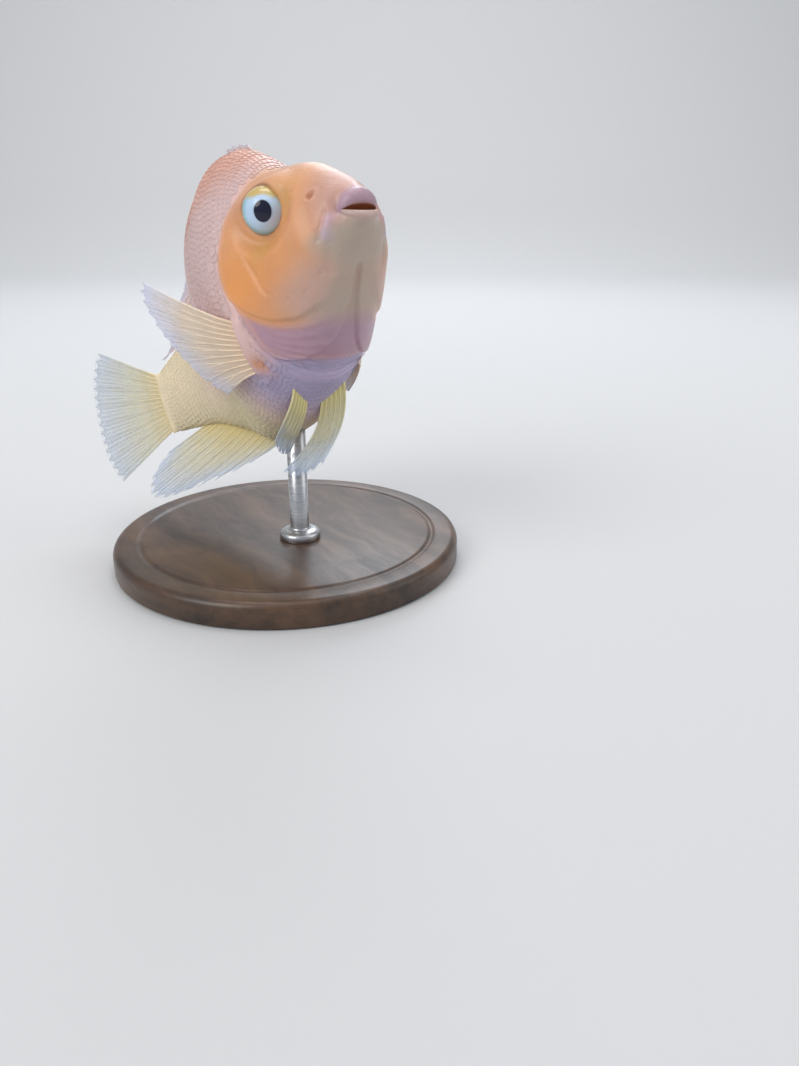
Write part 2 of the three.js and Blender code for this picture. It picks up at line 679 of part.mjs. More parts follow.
function standRod(foot) {
  const from = BASE_THICKNESS + GAP;
  const collarTop = from + COLLAR_HEIGHT;
  const profile = [
    [0, from], [COLLAR_RADIUS, from], [COLLAR_RADIUS, from + COLLAR_HEIGHT * COLLAR_STRAIGHT_SHARE],
    [COLLAR_RADIUS * COLLAR_TOP_SHARE, collarTop], [ROD_RADIUS, collarTop],
    [ROD_RADIUS, ROD_REACH], [0, ROD_REACH],
  ].map(([r, h]) => new THREE.Vector2(r, h));
  const geometry = new THREE.LatheGeometry(profile, ROD_AROUND);
  geometry.rotateX(Math.PI / 2);
  geometry.translate(foot.x, foot.y, 0);
  const m = fish.matrixWorld;
  const placedBody = grownBody.transform([...m.elements]);
  return solidFromGeometry(geometry).subtract(placedBody);
}

const part = new THREE.Group();
part.add(fish);
const belly = place(ROD_BACK, 0, bellyLine(ROD_BACK)).applyMatrix4(fish.matrixWorld);
part.add(meshOf("stand_base", standBase(), finish(0x3a2c24, 0.5)));
part.add(meshOf("stand_rod", standRod(belly), finish(0xb8bcc0, 0.3, 1)));

export default part;
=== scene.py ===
"""A life-size still model of a blood parrot cichlid, nose up and tail swung to its right.

The fish is held over a round wooden base by a short steel rod. Lengths of the fish are in
millimetres in its own frame: back from the snout along the spine, y to its left, z up its back.
"""

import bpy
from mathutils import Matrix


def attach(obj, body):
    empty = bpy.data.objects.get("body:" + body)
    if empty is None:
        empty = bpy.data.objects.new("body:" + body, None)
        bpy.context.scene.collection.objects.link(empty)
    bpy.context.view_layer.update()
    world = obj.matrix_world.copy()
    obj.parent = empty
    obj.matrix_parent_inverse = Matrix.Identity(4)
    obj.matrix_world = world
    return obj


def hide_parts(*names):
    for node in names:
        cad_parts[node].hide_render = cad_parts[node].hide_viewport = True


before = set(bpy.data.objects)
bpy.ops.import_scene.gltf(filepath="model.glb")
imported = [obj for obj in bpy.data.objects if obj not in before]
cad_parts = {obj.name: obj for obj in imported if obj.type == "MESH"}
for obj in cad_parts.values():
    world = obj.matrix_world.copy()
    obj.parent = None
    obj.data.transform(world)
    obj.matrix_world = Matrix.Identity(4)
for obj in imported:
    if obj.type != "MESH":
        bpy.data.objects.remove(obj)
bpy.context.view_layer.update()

import math

import bpy
import numpy as np
from mathutils import Matrix, Vector

# Camera. It looks a little down on the fish from ahead and to its right, at the height of its
# snout and under a quarter of a metre from it, framed as in the photograph.
CAMERA_AT = (0.23477, -0.12461, 0.11113)
CAMERA_BACK = (0.75257, -0.54560, 0.36872)
CAMERA_LENS = 28.706


def linked(name, data):
    """A new object in the scene."""
    made = bpy.data.objects.new(name, data)
    bpy.context.scene.collection.objects.link(made)
    return made


def aimed(name, data, at, back):
    """A new camera or lamp with its back turned the way given."""
    made = linked(name, data)
    made.rotation_mode = "QUATERNION"
    made.rotation_quaternion = (-Vector(back)).to_track_quat("-Z", "Y")
    made.location = at
    return made


camera_data = bpy.data.cameras.new("studio_camera")
camera_data.sensor_fit = "AUTO"
camera_data.sensor_width = 36.0
camera_data.lens = CAMERA_LENS
camera_data.clip_start = 0.01
camera_data.clip_end = 20.0
bpy.context.scene.camera = aimed("studio_camera", camera_data, CAMERA_AT, CAMERA_BACK)

# Body skin. One sheet from the inside of the mouth over lips, head, gill covers and trunk to the
# root of the tail fin, as it grows on the fish: moist, thick over the head and scaled behind it.
# Outlines are (back, height) or (back, half width); edges that run down are (height, back).
PITCH = math.radians(35)
SNOUT_FORWARD, SNOUT_HEIGHT = 47.0, 111.0
TAIL_SWING = math.radians(39)
SWING_FROM, SWING_TO = 66.0, 119.0
BODY_LENGTH = 120.0
BACK_LINE = [
    (0, 2.0), (3, 7.5), (8, 13.9), (15, 20.4), (22, 25.0), (29, 29.2), (35, 37.2),
    (43, 45.7), (54, 50.5), (68, 49.8), (82, 43.4), (96, 31.1), (108, 18.0), (120, 11.5),
]
BELLY_LINE = [
    (0, -2.5), (2, -6.3), (7, -10.1), (15, -16.0), (25, -23.4), (38, -27.5), (52, -30.6),
    (66, -33.7), (79, -32.0), (92, -23.4), (106, -14.5), (120, -11.0),
]
HALF_WIDTH = [
    (0, 3.4), (3, 6.6), (8, 10.2), (15, 13.5), (25, 16.6), (36, 19.8), (50, 23.0),
    (64, 22.0), (78, 16.0), (92, 10.0), (106, 6.0), (120, 3.6),
]
WIDEST_LEVEL = [(0, 0), (10, -2), (20, -1), (35, 0), (55, 4), (80, 3), (100, 1), (120, 0)]
UPPER_ROUNDING, LOWER_ROUNDING, HEIGHT_ROUNDING = 1.18, 0.95, 0.95
GILL_EDGE = [
    (-28, 33), (-24.5, 36.5), (-21.8, 40.2), (-18, 41.2), (-12, 40.2), (-6, 40.8),
    (1, 41.6), (6, 41.0), (12, 38.4), (18, 35.4), (26, 32.0), (34, 30.0),
]
BONY_EDGE = [
    (9, -11), (11.3, -13), (14.8, -15.1), (19.4, -17.1), (24.8, -17.5), (31.3, -15.1),
    (36.3, -10.6), (41, -4),
]
ISTHMUS_HALF = [(9, 0.6), (16, 1.1), (22, 2.1), (28.4, 4.1), (34.9, 8.1), (40.8, 13.8)]
CHEEK_RIDGE = [(-14, 26), (-8.1, 29.4), (-1.2, 30.3), (5.8, 32.2), (12, 33.5)]
GILL_LIFT, GILL_RAMP, GILL_CREASE = 1.2, 15.0, 0.55
BONY_STEP, ISTHMUS_DEPTH, CHEEK_GROOVE = 0.7, 0.9, 0.45
THROAT_FOLD, THROAT_FOLDS_PER_MM = 0.07, 2.4
EYE_BACK, EYE_HEIGHT, EYE_SUNK = 23.4, 12.8, 1.3
MOUTH_HALF, MOUTH_WRAP, MOUTH_SPAN, MOUTH_LEVEL = 5.2, 4.0, 1.45, -2.4
UPPER_LIP_LEVEL, LOWER_LIP_LEVEL, LIP_CORNER_LEVEL = 0.35, -5.0, -1.5
UPPER_LIP_THICK, LOWER_LIP_THICK, LIP_CORNER_THICK, LIP_FULLNESS = 2.15, 1.15, 0.35, 0.65
LIP_TURN = (-128, 82)
FACE_TO, TRUNK_FROM, TAIL_CAP = 12.0, 56.0, 3.5
COLUMNS = 300
MOUTH_ROWS, LIP_ROWS, BLEND_ROWS, FACE_ROWS, COVER_ROWS = 5, 18, 9, 24, 86
BEHIND_ROWS, TRUNK_ROWS, CAP_ROWS = 43, 104, 8


def mix(a, b, share):
    return a + (b - a) * share


def smooth(x, low, high):
    """0 below low, 1 above high and a soft rise between them."""
    u = np.clip((np.asarray(x, float) - low) / (high - low), 0, 1)
    return u * u * (3 - 2 * u)


def bump(distance, width):
    """1 at no distance, falling off like a bell over the width."""
    return np.exp(-((np.asarray(distance, float) / width) ** 2))


def flowing(start, end, leave, arrive, u):
    """A curve from start to end that leaves and arrives with given runs."""
    return (
        (1 + 2 * u) * (1 - u) ** 2 * start + u * (1 - u) ** 2 * leave
        + (3 - 2 * u) * u * u * end - (1 - u) * u * u * arrive
    )


def curve_through(points):
    """A smooth curve through points that keeps their rises and falls."""
    at, value = (np.array(v, float) for v in zip(*points))
    slope = np.diff(value) / np.diff(at)
    tangent = np.concatenate([[slope[0]], np.zeros(len(at) - 2), [slope[-1]]])
    for i in range(1, len(at) - 1):
        if slope[i - 1] * slope[i] > 0:
            tangent[i] = 2 * slope[i - 1] * slope[i] / (slope[i - 1] + slope[i])

    def value_at(x):
        inside = np.clip(np.asarray(x, float), at[0], at[-1])
        i = np.clip(np.searchsorted(at, inside, side="right") - 1, 0, len(at) - 2)
        step = at[i + 1] - at[i]
        u = (inside - at[i]) / step
        return flowing(value[i], value[i + 1], step * tangent[i], step * tangent[i + 1], u)

    return value_at


back_line, belly_line = curve_through(BACK_LINE), curve_through(BELLY_LINE)
half_width, widest_level = curve_through(HALF_WIDTH), curve_through(WIDEST_LEVEL)
gill_edge, bony_edge = curve_through(GILL_EDGE), curve_through(BONY_EDGE)
isthmus_half, cheek_ridge = curve_through(ISTHMUS_HALF), curve_through(CHEEK_RIDGE)

SPINE_STEP, SPINE_END = 0.5, 200
spine_at = np.arange(0, SPINE_END + SPINE_STEP, SPINE_STEP)
spine_turn = TAIL_SWING * smooth(spine_at, SWING_FROM, SWING_TO)
spine_x = -np.concatenate([[0], np.cumsum(np.cos(spine_turn[:-1]) * SPINE_STEP)])
spine_y = -np.concatenate([[0], np.cumsum(np.sin(spine_turn[:-1]) * SPINE_STEP)])


def nose_up(x, y, z):
    """Forward, left and up of the fish turned so that its nose rises by the pitch."""
    forward = x * math.cos(PITCH) - z * math.sin(PITCH)
    return np.stack([forward, y, x * math.sin(PITCH) + z * math.cos(PITCH)], axis=-1)


def place(back, y, z):
    """Points of the fish in metres in the stand's frame, with the tail swung and the nose up."""
    back, y, z = np.broadcast_arrays(*(np.asarray(v, float) for v in (back, y, z)))
    turn = np.interp(back, spine_at, spine_turn)
    x = np.where(back <= 0, -back, np.interp(back, spine_at, spine_x) - y * np.sin(turn))
    side = np.where(back <= 0, y, np.interp(back, spine_at, spine_y) + y * np.cos(turn))
    return (nose_up(x, side, z) + (SNOUT_FORWARD, 0, SNOUT_HEIGHT)) / 1000


def section_at(back, upper):
    """The plain body's widest level, its reach above or below that and its rounding there."""
    level = widest_level(back)
    reach = np.where(upper, back_line(back) - level, level - belly_line(back))
    return level, reach, np.where(upper, UPPER_ROUNDING, LOWER_ROUNDING)


def body_at(back, angle):
    """Left-right and up-down of the plain body at an angle that starts at the left flank."""
    c, s = np.cos(angle), np.sin(angle)
    level, reach, rounding = section_at(back, s >= 0)
    y = half_width(back) * np.sign(c) * np.abs(c) ** rounding
    return y, level + np.sign(s) * reach * np.abs(s) ** HEIGHT_ROUNDING


def flank(back, z):
    """Half the body's width at a distance back and a height."""
    level, reach, rounding = section_at(back, z >= widest_level(back))
    s = np.clip(np.abs(z - level) / reach, 0, 1) ** (1 / HEIGHT_ROUNDING)
    return half_width(back) * np.sqrt(1 - s * s) ** rounding


def from_segment(back, z, start, end):
    """Distance in side view from a straight crease."""
    run = np.array(end, float) - np.array(start, float)
    share = np.clip(((back - start[0]) * run[0] + (z - start[1]) * run[1]) / (run @ run), 0, 1)
    return np.hypot(back - start[0] - share * run[0], z - start[1] - share * run[1])


# Small forms of the face, as (back, height): sense pores along the cheek, round the eye and under
# the jaw, the nostril, and folds beside the mouth with both ends, how far out and how wide.
PORES = [
    (31.2, 8.5), (30.2, 3.0), (29.6, -3.2), (28.4, -9.0), (25.0, -12.8), (19.8, -13.6), (14.4, -11.8),
    (13.2, 10.2), (14.6, 6.4), (18.2, 4.2), (23.0, 3.6), (28.6, 18.0), (17.0, 19.5),
]
PORE_DEPTH, PORE_RADIUS = 0.3, 0.42
NOSTRIL, NOSTRIL_DEPTH, NOSTRIL_RADIUS = (8.2, 6.0), 1.3, 0.75
MOUTH_FOLDS = [
    ((4.6, 0.0), (9.2, -5.6), -0.35, 0.8), ((4.9, -2.3), (7.8, -5.8), 0.3, 1.0),
    ((7.5, -7.2), (13, -12.2), -0.25, 0.8),
]
PECTORAL_BASE = [(43.9, -9.5), (46.2, -15.4), (49.0, -21.0)]
SHOULDER_LIFT, BROW_LIFT = 1.1, 0.25


def relief(back, y, z):
    """How far the skin stands out of the plain body, or sinks into it."""
    width = np.abs(y)
    off_middle = smooth(width, 2.5, 5)
    ahead = gill_edge(z) - back
    sides = smooth(-z, -25, -14)
    crease = -GILL_CREASE * bump(np.minimum(ahead, 0) + 0.5, 1.0) + 0.25 * bump(ahead + 3.2, 1.6)
    cover = np.where(ahead >= 0, GILL_LIFT * (1 - smooth(ahead, 0, GILL_RAMP)), crease) * sides
    low = z - bony_edge(back)
    lower_jaw = smooth(back, 9, 14) * sides * np.where(ahead >= 0, 1, 0)
    bony = BONY_STEP * smooth(low, -0.9, 0.9) * lower_jaw
    folds = THROAT_FOLD * np.cos(low * THROAT_FOLDS_PER_MM) * smooth(-low, 1.2, 2.6)
    folds = folds * lower_jaw * smooth(width, 2, 5)
    underside = smooth(-z, 9, 12) * smooth(back, 9, 12) * (1 - smooth(back, 38, 44))
    middle = isthmus_half(back)
    isthmus = -ISTHMUS_DEPTH * underside * (1 - smooth(width, middle - 0.6, middle + 0.6))
    groove = -CHEEK_GROOVE * bump(back - cheek_ridge(z), 0.9) * smooth(z, -11, -7) * smooth(-z, -6, -1)
    mouth = sum(out * bump(from_segment(back, z, *ends), wide) for *ends, out, wide in MOUTH_FOLDS)
    nostril = np.hypot(back - NOSTRIL[0], z - NOSTRIL[1])
    pit = 0.28 * bump(nostril - 1.35, 0.5) - NOSTRIL_DEPTH * bump(nostril, NOSTRIL_RADIUS)
    pores = -PORE_DEPTH * sum(bump(np.hypot(back - b, z - h), PORE_RADIUS) for b, h in PORES)
    fin_root = from_segment(back, z, PECTORAL_BASE[0], PECTORAL_BASE[2])
    shoulder = SHOULDER_LIFT * bump(fin_root, 2.6) * smooth(width, 6, 10)
    brow = BROW_LIFT * bump(np.hypot((back - 20) / 1.4, z - 21.5), 3.0)
    return cover + bony + folds + isthmus + groove + (mouth + pit + pores) * off_middle + shoulder + brow


# The orbits open to the side, a little ahead and down, and both pupils are turned further ahead.
ORBIT_FACING = np.array([-0.395, 0.878, -0.268])
GAZE = np.array([-0.665, 0.590, -0.456])
ORBIT_FLOOR, ORBIT_INNER, ORBIT_CREST, ORBIT_OUTER = 4.4, 5.7, 6.9, 12.5
ORBIT_LEVEL, ORBIT_RIM, ORBIT_DEPTH = 1.7, 0.55, 4.2
MOST_OUT, MOST_IN = 5.0, 9.0


def eye_frame(side):
    """The eyeball's centre, the way its orbit faces and the way the pupil looks."""
    y = float(flank(EYE_BACK, EYE_HEIGHT))
    toward_tail = float(flank(EYE_BACK + 1, EYE_HEIGHT) - flank(EYE_BACK - 1, EYE_HEIGHT)) / 2
    upward = float(flank(EYE_BACK, EYE_HEIGHT + 1) - flank(EYE_BACK, EYE_HEIGHT - 1)) / 2
    out = np.array([-toward_tail, 1.0, -upward])
    out /= np.linalg.norm(out)
    centre = np.array([EYE_BACK, y, EYE_HEIGHT]) - EYE_SUNK * out
    return centre * (1, side, 1), ORBIT_FACING * (1, side, 1), GAZE * (1, side, 1)


def about_orbit(points, side):
    """Places from the eye's centre, their height the way its orbit faces and distance from that axis."""
    centre, look, _ = eye_frame(side)
    away = points - centre
    height = away @ look
    return away, height, np.linalg.norm(away - height[..., None] * look, axis=-1)


def set_orbits(points, strength):
    """Draws the skin round each eye into a low ring that faces the way the orbit does."""
    for side in (1, -1):
        _, height, radius = about_orbit(points, side)
        ring = ORBIT_LEVEL + ORBIT_RIM * bump(radius - ORBIT_CREST, 0.9)
        missing = ring - ORBIT_DEPTH * smooth(-radius, -ORBIT_INNER, -ORBIT_FLOOR) - height
        near = smooth(-radius, -ORBIT_OUTER, -ORBIT_CREST) * smooth(height, -8, -4)
        limit = np.where(missing > 0, MOST_OUT, MOST_IN)
        shift = limit * np.tanh(missing / limit) * near * strength
        points = points + shift[..., None] * ORBIT_FACING * (1, side, 1)
    return points


def unit(vectors):
    return vectors / np.maximum(np.linalg.norm(vectors, axis=-1, keepdims=True), 1e-15)


def lip_rows(t):
    """Rings from the back of the mouth to the lips' outer edge, with t round the mouth."""
    c, s = np.cos(t), np.sin(t)
    a = MOUTH_SPAN * c
    share = (np.cos(a) - math.cos(MOUTH_SPAN)) / (1 - math.cos(MOUTH_SPAN))
    level = mix(LIP_CORNER_LEVEL, np.where(s >= 0, UPPER_LIP_LEVEL, LOWER_LIP_LEVEL), share)
    centre = np.stack([MOUTH_WRAP * (1 - np.cos(a)), MOUTH_HALF * np.sin(a), level], axis=-1)
    thick = mix(LIP_CORNER_THICK, np.where(s >= 0, UPPER_LIP_THICK, LOWER_LIP_THICK), share)[:, None]
    forward = np.stack([-np.cos(a), np.sin(a), 0 * a], axis=-1)
    sideways = np.stack([np.sin(a), np.cos(a), 0 * a], axis=-1)
    apart = unit((c / MOUTH_HALF)[:, None] * sideways + (s / 2.2)[:, None] * np.array([0, 0, 1.0]))
    lips = []
    for turn in np.radians(np.linspace(*LIP_TURN, LIP_ROWS)):
        fold = 1 + 0.02 * np.cos(9 * a)[:, None] * math.cos(turn)
        outward = LIP_FULLNESS * math.cos(turn) * forward + math.sin(turn) * apart
        lips.append(centre + thick * fold * outward)
    deep = np.stack([4.6 + 0 * c, 3.0 * c, MOUTH_LEVEL + 0.2 + 0.9 * s], axis=-1)
    shares = np.linspace(0, 1, MOUTH_ROWS + 1)[:-1]
    return [mix(deep, lips[0], share ** 1.3) for share in shares] + lips


def skin_rings():
    """Rings of (back, y, z) from the back of the mouth to the end of the tail's root."""
    t = np.arange(COLUMNS) * 2 * math.pi / COLUMNS
    front = lip_rows(t)
    face_from = 3.2 + 1.8 * np.cos(t) ** 2
    start, after = (np.stack([b, *body_at(b, t)], axis=-1) for b in (face_from, face_from + 0.3))
    chord = start - front[-1]
    arrive = unit(after - start) * np.linalg.norm(chord, axis=-1, keepdims=True)
    blend = [flowing(front[-1], start, chord, arrive, u) for u in np.linspace(0, 1, BLEND_ROWS + 2)[1:-1]]
    front = np.array(front + blend)

    edge = np.full(COLUMNS, 38.0)
    for _ in range(40):
        edge = mix(edge, gill_edge(body_at(edge, t)[1]), 0.5)
    backs = np.array([
        *(mix(face_from, FACE_TO, share) for share in np.linspace(0, 1, FACE_ROWS + 1)[:-1]),
        *(mix(FACE_TO, edge - 0.02, share) for share in np.linspace(0, 1, COVER_ROWS)),
        *(mix(edge + 0.1, TRUNK_FROM, share) for share in np.linspace(0, 1, BEHIND_ROWS + 1)[:-1]),
        *(np.full(COLUMNS, back) for back in np.linspace(TRUNK_FROM, BODY_LENGTH, TRUNK_ROWS)),
    ])
    y, z = body_at(backs, t[None, :])
    plain = np.stack([backs, y, z], axis=-1)
    around = np.roll(plain, -1, axis=1) - np.roll(plain, 1, axis=1)
    rear = plain + relief(backs, y, z)[..., None] * unit(np.cross(around, np.gradient(plain, axis=0)))

    last_y, last_z = body_at(np.full(COLUMNS, BODY_LENGTH), t)
    cap = []
    for share in np.linspace(0, 1, CAP_ROWS + 1)[1:]:
        bulge = 1 - 0.12 * (last_z / 11.5) ** 2 * share
        narrow_y, narrow_z = last_y * mix(1, 0.1, share ** 1.5), last_z * (1 - 0.02 * share)
        cap.append(np.stack([BODY_LENGTH + TAIL_CAP * share * bulge, narrow_y, narrow_z], axis=-1))
    rings = np.concatenate([front, rear, np.array(cap)])
    behind_lips = np.arange(len(rings)) >= len(front)
    return set_orbits(rings, behind_lips[:, None])


# Colours of skin and scales, linear: peach head with orange cheeks, pinkish nape and flanks, and
# cream to yellow belly and tail root. Painted in are a grey-violet shade on the throat and in the
# crease behind the lower gill covers, a lilac cast of blue light on the pale breast, a lilac
# highlight beside the mouth and a dark shadow under each orbit's upper rim.
PALE_FLANK = (0.78, 0.54, 0.51)
NAPE = (0.76, 0.38, 0.28)
FACE = (0.72, 0.35, 0.17)
CHEEK = (0.82, 0.34, 0.10)
BROW = (0.62, 0.32, 0.18)
SNOUT = (0.56, 0.33, 0.28)
GOLD = (0.66, 0.40, 0.10)
JAW = (0.60, 0.40, 0.33)
UPPER_LIP_TONE = (0.46, 0.31, 0.38)
LOWER_LIP_TONE = (0.54, 0.40, 0.36)
CHIN = (0.50, 0.41, 0.33)
# Painted shade: the grey-violet of blue-lit shadow on the throat and lower gill covers.
THROAT_SHADE = (0.42, 0.28, 0.42)
# Painted highlight: a lilac strip along the fold beside the mouth.
FOLD_HIGHLIGHT = (0.60, 0.48, 0.66)
# The pale breast with a painted lilac cast of blue light over it.
BREAST_AND_BLUE_LIGHT = (0.56, 0.47, 0.66)
BELLY = (0.92, 0.79, 0.50)
ORANGE_SPOT = (0.74, 0.30, 0.10)
# Painted shadow: a dark line on the skin under each orbit's upper rim, above the eye.
ORBIT_RIM_SHADOW = (0.24, 0.13, 0.07)
MOUTH_INSIDE = (0.46, 0.19, 0.09)


def skin_tone(back, y, z):
    """Linear colour of the fish at a place of its body, washed on from the flank to the face, with painted
    shade and light among the washes.
    """
    width, ahead, low = np.abs(y), gill_edge(z) - back, z - bony_edge(back)
    head = smooth(ahead, -1.5, 3)
    colour = np.broadcast_to(np.array(PALE_FLANK), (*np.shape(back), 3))
    for tone, share in (
        (BELLY, smooth(-z, 2, 22) * smooth(back, 54, 72)),
        (BELLY, 0.85 * smooth(back, 84, 108)),
        (NAPE, smooth(z, 24, 40) * (1 - 0.5 * smooth(back, 60, 85))),
        # Pale breast with the painted lilac cast of blue light.
        (BREAST_AND_BLUE_LIGHT, smooth(-z, 15, 24) * (1 - smooth(back, 50, 64))),
        (FACE, head * (1 - smooth(z, 24, 34))),
        (BROW, head * smooth(z, 10, 24)),
        (JAW, head * smooth(-z, 3, 14) * (1 - smooth(back, 22, 34))),
        (CHEEK, head * bump(np.hypot((back - 35) / 1.25, (z + 1.5) / 1.1), 9.5)),
        (CHEEK, head * 0.3 * bump(np.hypot(back - 24, z + 2), 8)),
        (GOLD, head * 0.4 * bump(np.hypot(back - 17, z - 11), 4.5)),
        (GOLD, head * 0.4 * bump(np.hypot((back - 27) / 0.8, z - 3), 4.5)),
        (SNOUT, (1 - smooth(back, 3, 13)) * 0.9),
        (CHIN, head * smooth(-low, -1.5, 1.5) * smooth(back, 6, 11) * (1 - smooth(back, 17, 27))),
        (CHIN, (1 - smooth(back, 8, 14)) * smooth(-z, 2.5, 6)),
        # Painted grey-violet shade under the bony edge and in the crease behind the lower gill covers.
        (THROAT_SHADE, 0.8 * head * smooth(-low, 0.5, 4.5) * smooth(back, 16, 27)),
        (THROAT_SHADE, 0.55 * bump(ahead + 0.6, 1.0) * smooth(-z, 2, 12) * smooth(back, 30, 36)),
        # Painted lilac highlight along the fold in front of the mouth crease.
        (FOLD_HIGHLIGHT, 0.5 * smooth(width, 2.5, 5) * bump(from_segment(back, z, (5.0, -2.4), (7.6, -5.6)), 1.3)),
        (ORANGE_SPOT, 0.8 * bump(np.hypot(back - 46.8, z + 20.3), 2.6) * smooth(width, 8, 12)),
    ):
        colour = mix(colour, np.array(tone), np.clip(share, 0, 1)[..., None])
    return colour


def keep_values(mesh, name, kind, values):
    """Keeps a value for each point of a mesh under a name."""
    field = {"FLOAT_VECTOR": "vector", "FLOAT_COLOR": "color"}.get(kind, "value")
    layer = mesh.attributes.new(name, kind, "POINT")
    layer.data.foreach_set(field, np.asarray(values, np.float32).ravel())


def tint_mesh(mesh, colour):
    keep_values(mesh, "tone", "FLOAT_COLOR", np.column_stack([colour, np.ones(len(colour))]))


def new_piece(name, points, faces):
    """A smooth-shaded mesh object."""
    mesh = bpy.data.meshes.new(name)
    mesh.from_pydata(np.asarray(points).reshape(-1, 3).tolist(), [], faces)
    mesh.validate()
    mesh.update()
    mesh.shade_smooth()
    return linked(name, mesh)


def ring_faces(count, around):
    """Quads of rings of points, with a fan to one more point at each end."""
    i, j = np.meshgrid(np.arange(count - 1), np.arange(around), indexing="ij")
    a, b = i * around + j, i * around + (j + 1) % around
    quads = np.stack([a, b, b + around, a + around], axis=-1).reshape(-1, 4).tolist()
    first, last = count * around, count * around + 1
    for j in range(around):
        k = (j + 1) % around
        quads.append([first, k, j])
        quads.append([last, (count - 1) * around + j, (count - 1) * around + k])
    return quads


rings = skin_rings()
ends = np.array([[5.4, 0, MOUTH_LEVEL], [BODY_LENGTH + 3.9, 0, 0]])
local = np.concatenate([rings.reshape(-1, 3), ends])
skin = new_piece("skin", place(*local.T), ring_faces(len(rings), COLUMNS))
row = np.append(np.repeat(np.arange(len(rings)), COLUMNS), [0, len(rings)])
lips_end = MOUTH_ROWS + LIP_ROWS
on_lips = smooth(row, MOUTH_ROWS + 2, MOUTH_ROWS + 5) * (1 - smooth(row, lips_end - 2, lips_end + 3))
in_mouth = 1 - smooth(row, MOUTH_ROWS - 1, MOUTH_ROWS + 4)
upper_lip = smooth(local[:, 2], -2.6, -1.4)[:, None]
tone = skin_tone(*local.T)
tone = mix(tone, mix(np.array(LOWER_LIP_TONE), np.array(UPPER_LIP_TONE), upper_lip), on_lips[:, None])
tone = mix(tone, np.array(MOUTH_INSIDE), in_mouth[:, None])
# Paints a dark shadow line on the skin under each orbit's upper rim.
for side in (1, -1):
    away, height, from_axis = about_orbit(local, side)
    rim_shadow = bump(from_axis - 6.4, 0.45) * smooth(away[:, 2], 1.5, 4.5) * smooth(height, -1, 1)
    tone = mix(tone, np.array(ORBIT_RIM_SHADOW), 0.8 * rim_shadow[:, None])
tint_mesh(skin.data, tone)


def new_group(name, inputs, outputs, kind="ShaderNodeTree"):
    """A node group with named sockets, what it is given and the node that takes its results."""
    group = bpy.data.node_groups.new(name, kind)
    for direction, sockets in (("INPUT", inputs), ("OUTPUT", outputs)):
        for label, holds, *value in sockets:
            socket = group.interface.new_socket(label, in_out=direction, socket_type="NodeSocket" + holds)
            if value:
                socket.default_value = value[0]
    return group, group.nodes.new("NodeGroupInput").outputs, group.nodes.new("NodeGroupOutput")


def wire(tree, node, values):
    """Sets or links a node's inputs, given by name or number, each from a value or a socket."""
    for key, value in values.items():
        if isinstance(value, bpy.types.NodeSocket):
            tree.links.new(value, node.inputs[key])
        else:
            node.inputs[key].default_value = value


def put(tree, kind, values=None, **settings):
    """The outputs of a new node with its settings and inputs."""
    node = tree.nodes.new(kind)
    for key, value in settings.items():
        setattr(node, key, value)
    wire(tree, node, values or {})
    return node.outputs


def math_of(tree, operation, *values):
    return put(tree, "ShaderNodeMath", dict(enumerate(values)), operation=operation)[0]


def noise(tree, where, scale, detail, roughness=0.5):
    values = {"Vector": where, "Scale": scale, "Detail": detail, "Roughness": roughness}
    return put(tree, "ShaderNodeTexNoise", values)


def ranged(tree, value, low, high, to_low=0.0, to_high=1.0):
    """A value spread from one range over another and held at its ends."""
    limits = {"Value": value, "From Min": low, "From Max": high, "To Min": to_low, "To Max": to_high}
    return put(tree, "ShaderNodeMapRange", limits)[0]


def blend_colours(tree, share, a, b):
    a, b = (c if isinstance(c, bpy.types.NodeSocket) else (*c, 1) for c in (a, b))
    return put(tree, "ShaderNodeMix", {0: share, 6: a, 7: b}, data_type="RGBA")[2]


def raised(tree, height, strength, distance):
    return put(tree, "ShaderNodeBump", {"Height": height, "Strength": strength, "Distance": distance})[0]


def new_material(name, **constants):
    """A material with a Principled shader whose constants are set on its own sockets."""
    material = bpy.data.materials.new(name)
    material.use_nodes = True
    shader = material.node_tree.nodes["Principled BSDF"]
    for label, value in constants.items():
        shader.inputs[label.replace("_", " ")].default_value = value
    return material, material.node_tree, shader


# Living skin: the tone broken up by soft blotches, tiny pale flecks and a fine pebbled surface.
BLOTCH, FLECK = (0.36, 0.16, 0.12), (0.95, 0.84, 0.80)
moist, given, moist_out = new_group(
    "living_skin",
    [("Tone", "Color", (1, 1, 1, 1)), ("Place", "Vector"), ("Blotch Size", "Float", 90.0),
     ("Blotches", "Float", 0.16), ("Fleck Size", "Float", 900.0), ("Flecks", "Float", 0.2)],
    [("Color", "Color"), ("Roughness", "Float"), ("Height", "Float")],
)
blotch = noise(moist, given["Place"], given["Blotch Size"], 3.0, 0.6)[0]
fleck = noise(moist, given["Place"], given["Fleck Size"], 2.0, 0.7)[0]
cells = {"Vector": given["Place"], "Scale": given["Fleck Size"]}
pebble = put(moist, "ShaderNodeTexVoronoi", cells, feature="SMOOTH_F1")[0]
dark = math_of(moist, "MULTIPLY", ranged(moist, blotch, 0.35, 0.7), given["Blotches"])
bright = math_of(moist, "MULTIPLY", ranged(moist, fleck, 0.56, 0.74), given["Flecks"])
fine, coarse = math_of(moist, "MULTIPLY", fleck, 0.6), math_of(moist, "MULTIPLY", pebble, 0.5)
wire(moist, moist_out, {
    "Color": blend_colours(moist, bright, blend_colours(moist, dark, given["Tone"], BLOTCH), FLECK),
    "Roughness": ranged(moist, fleck, 0.2, 0.8, 0.32, 0.5),
    "Height": math_of(moist, "ADD", fine, coarse),
})


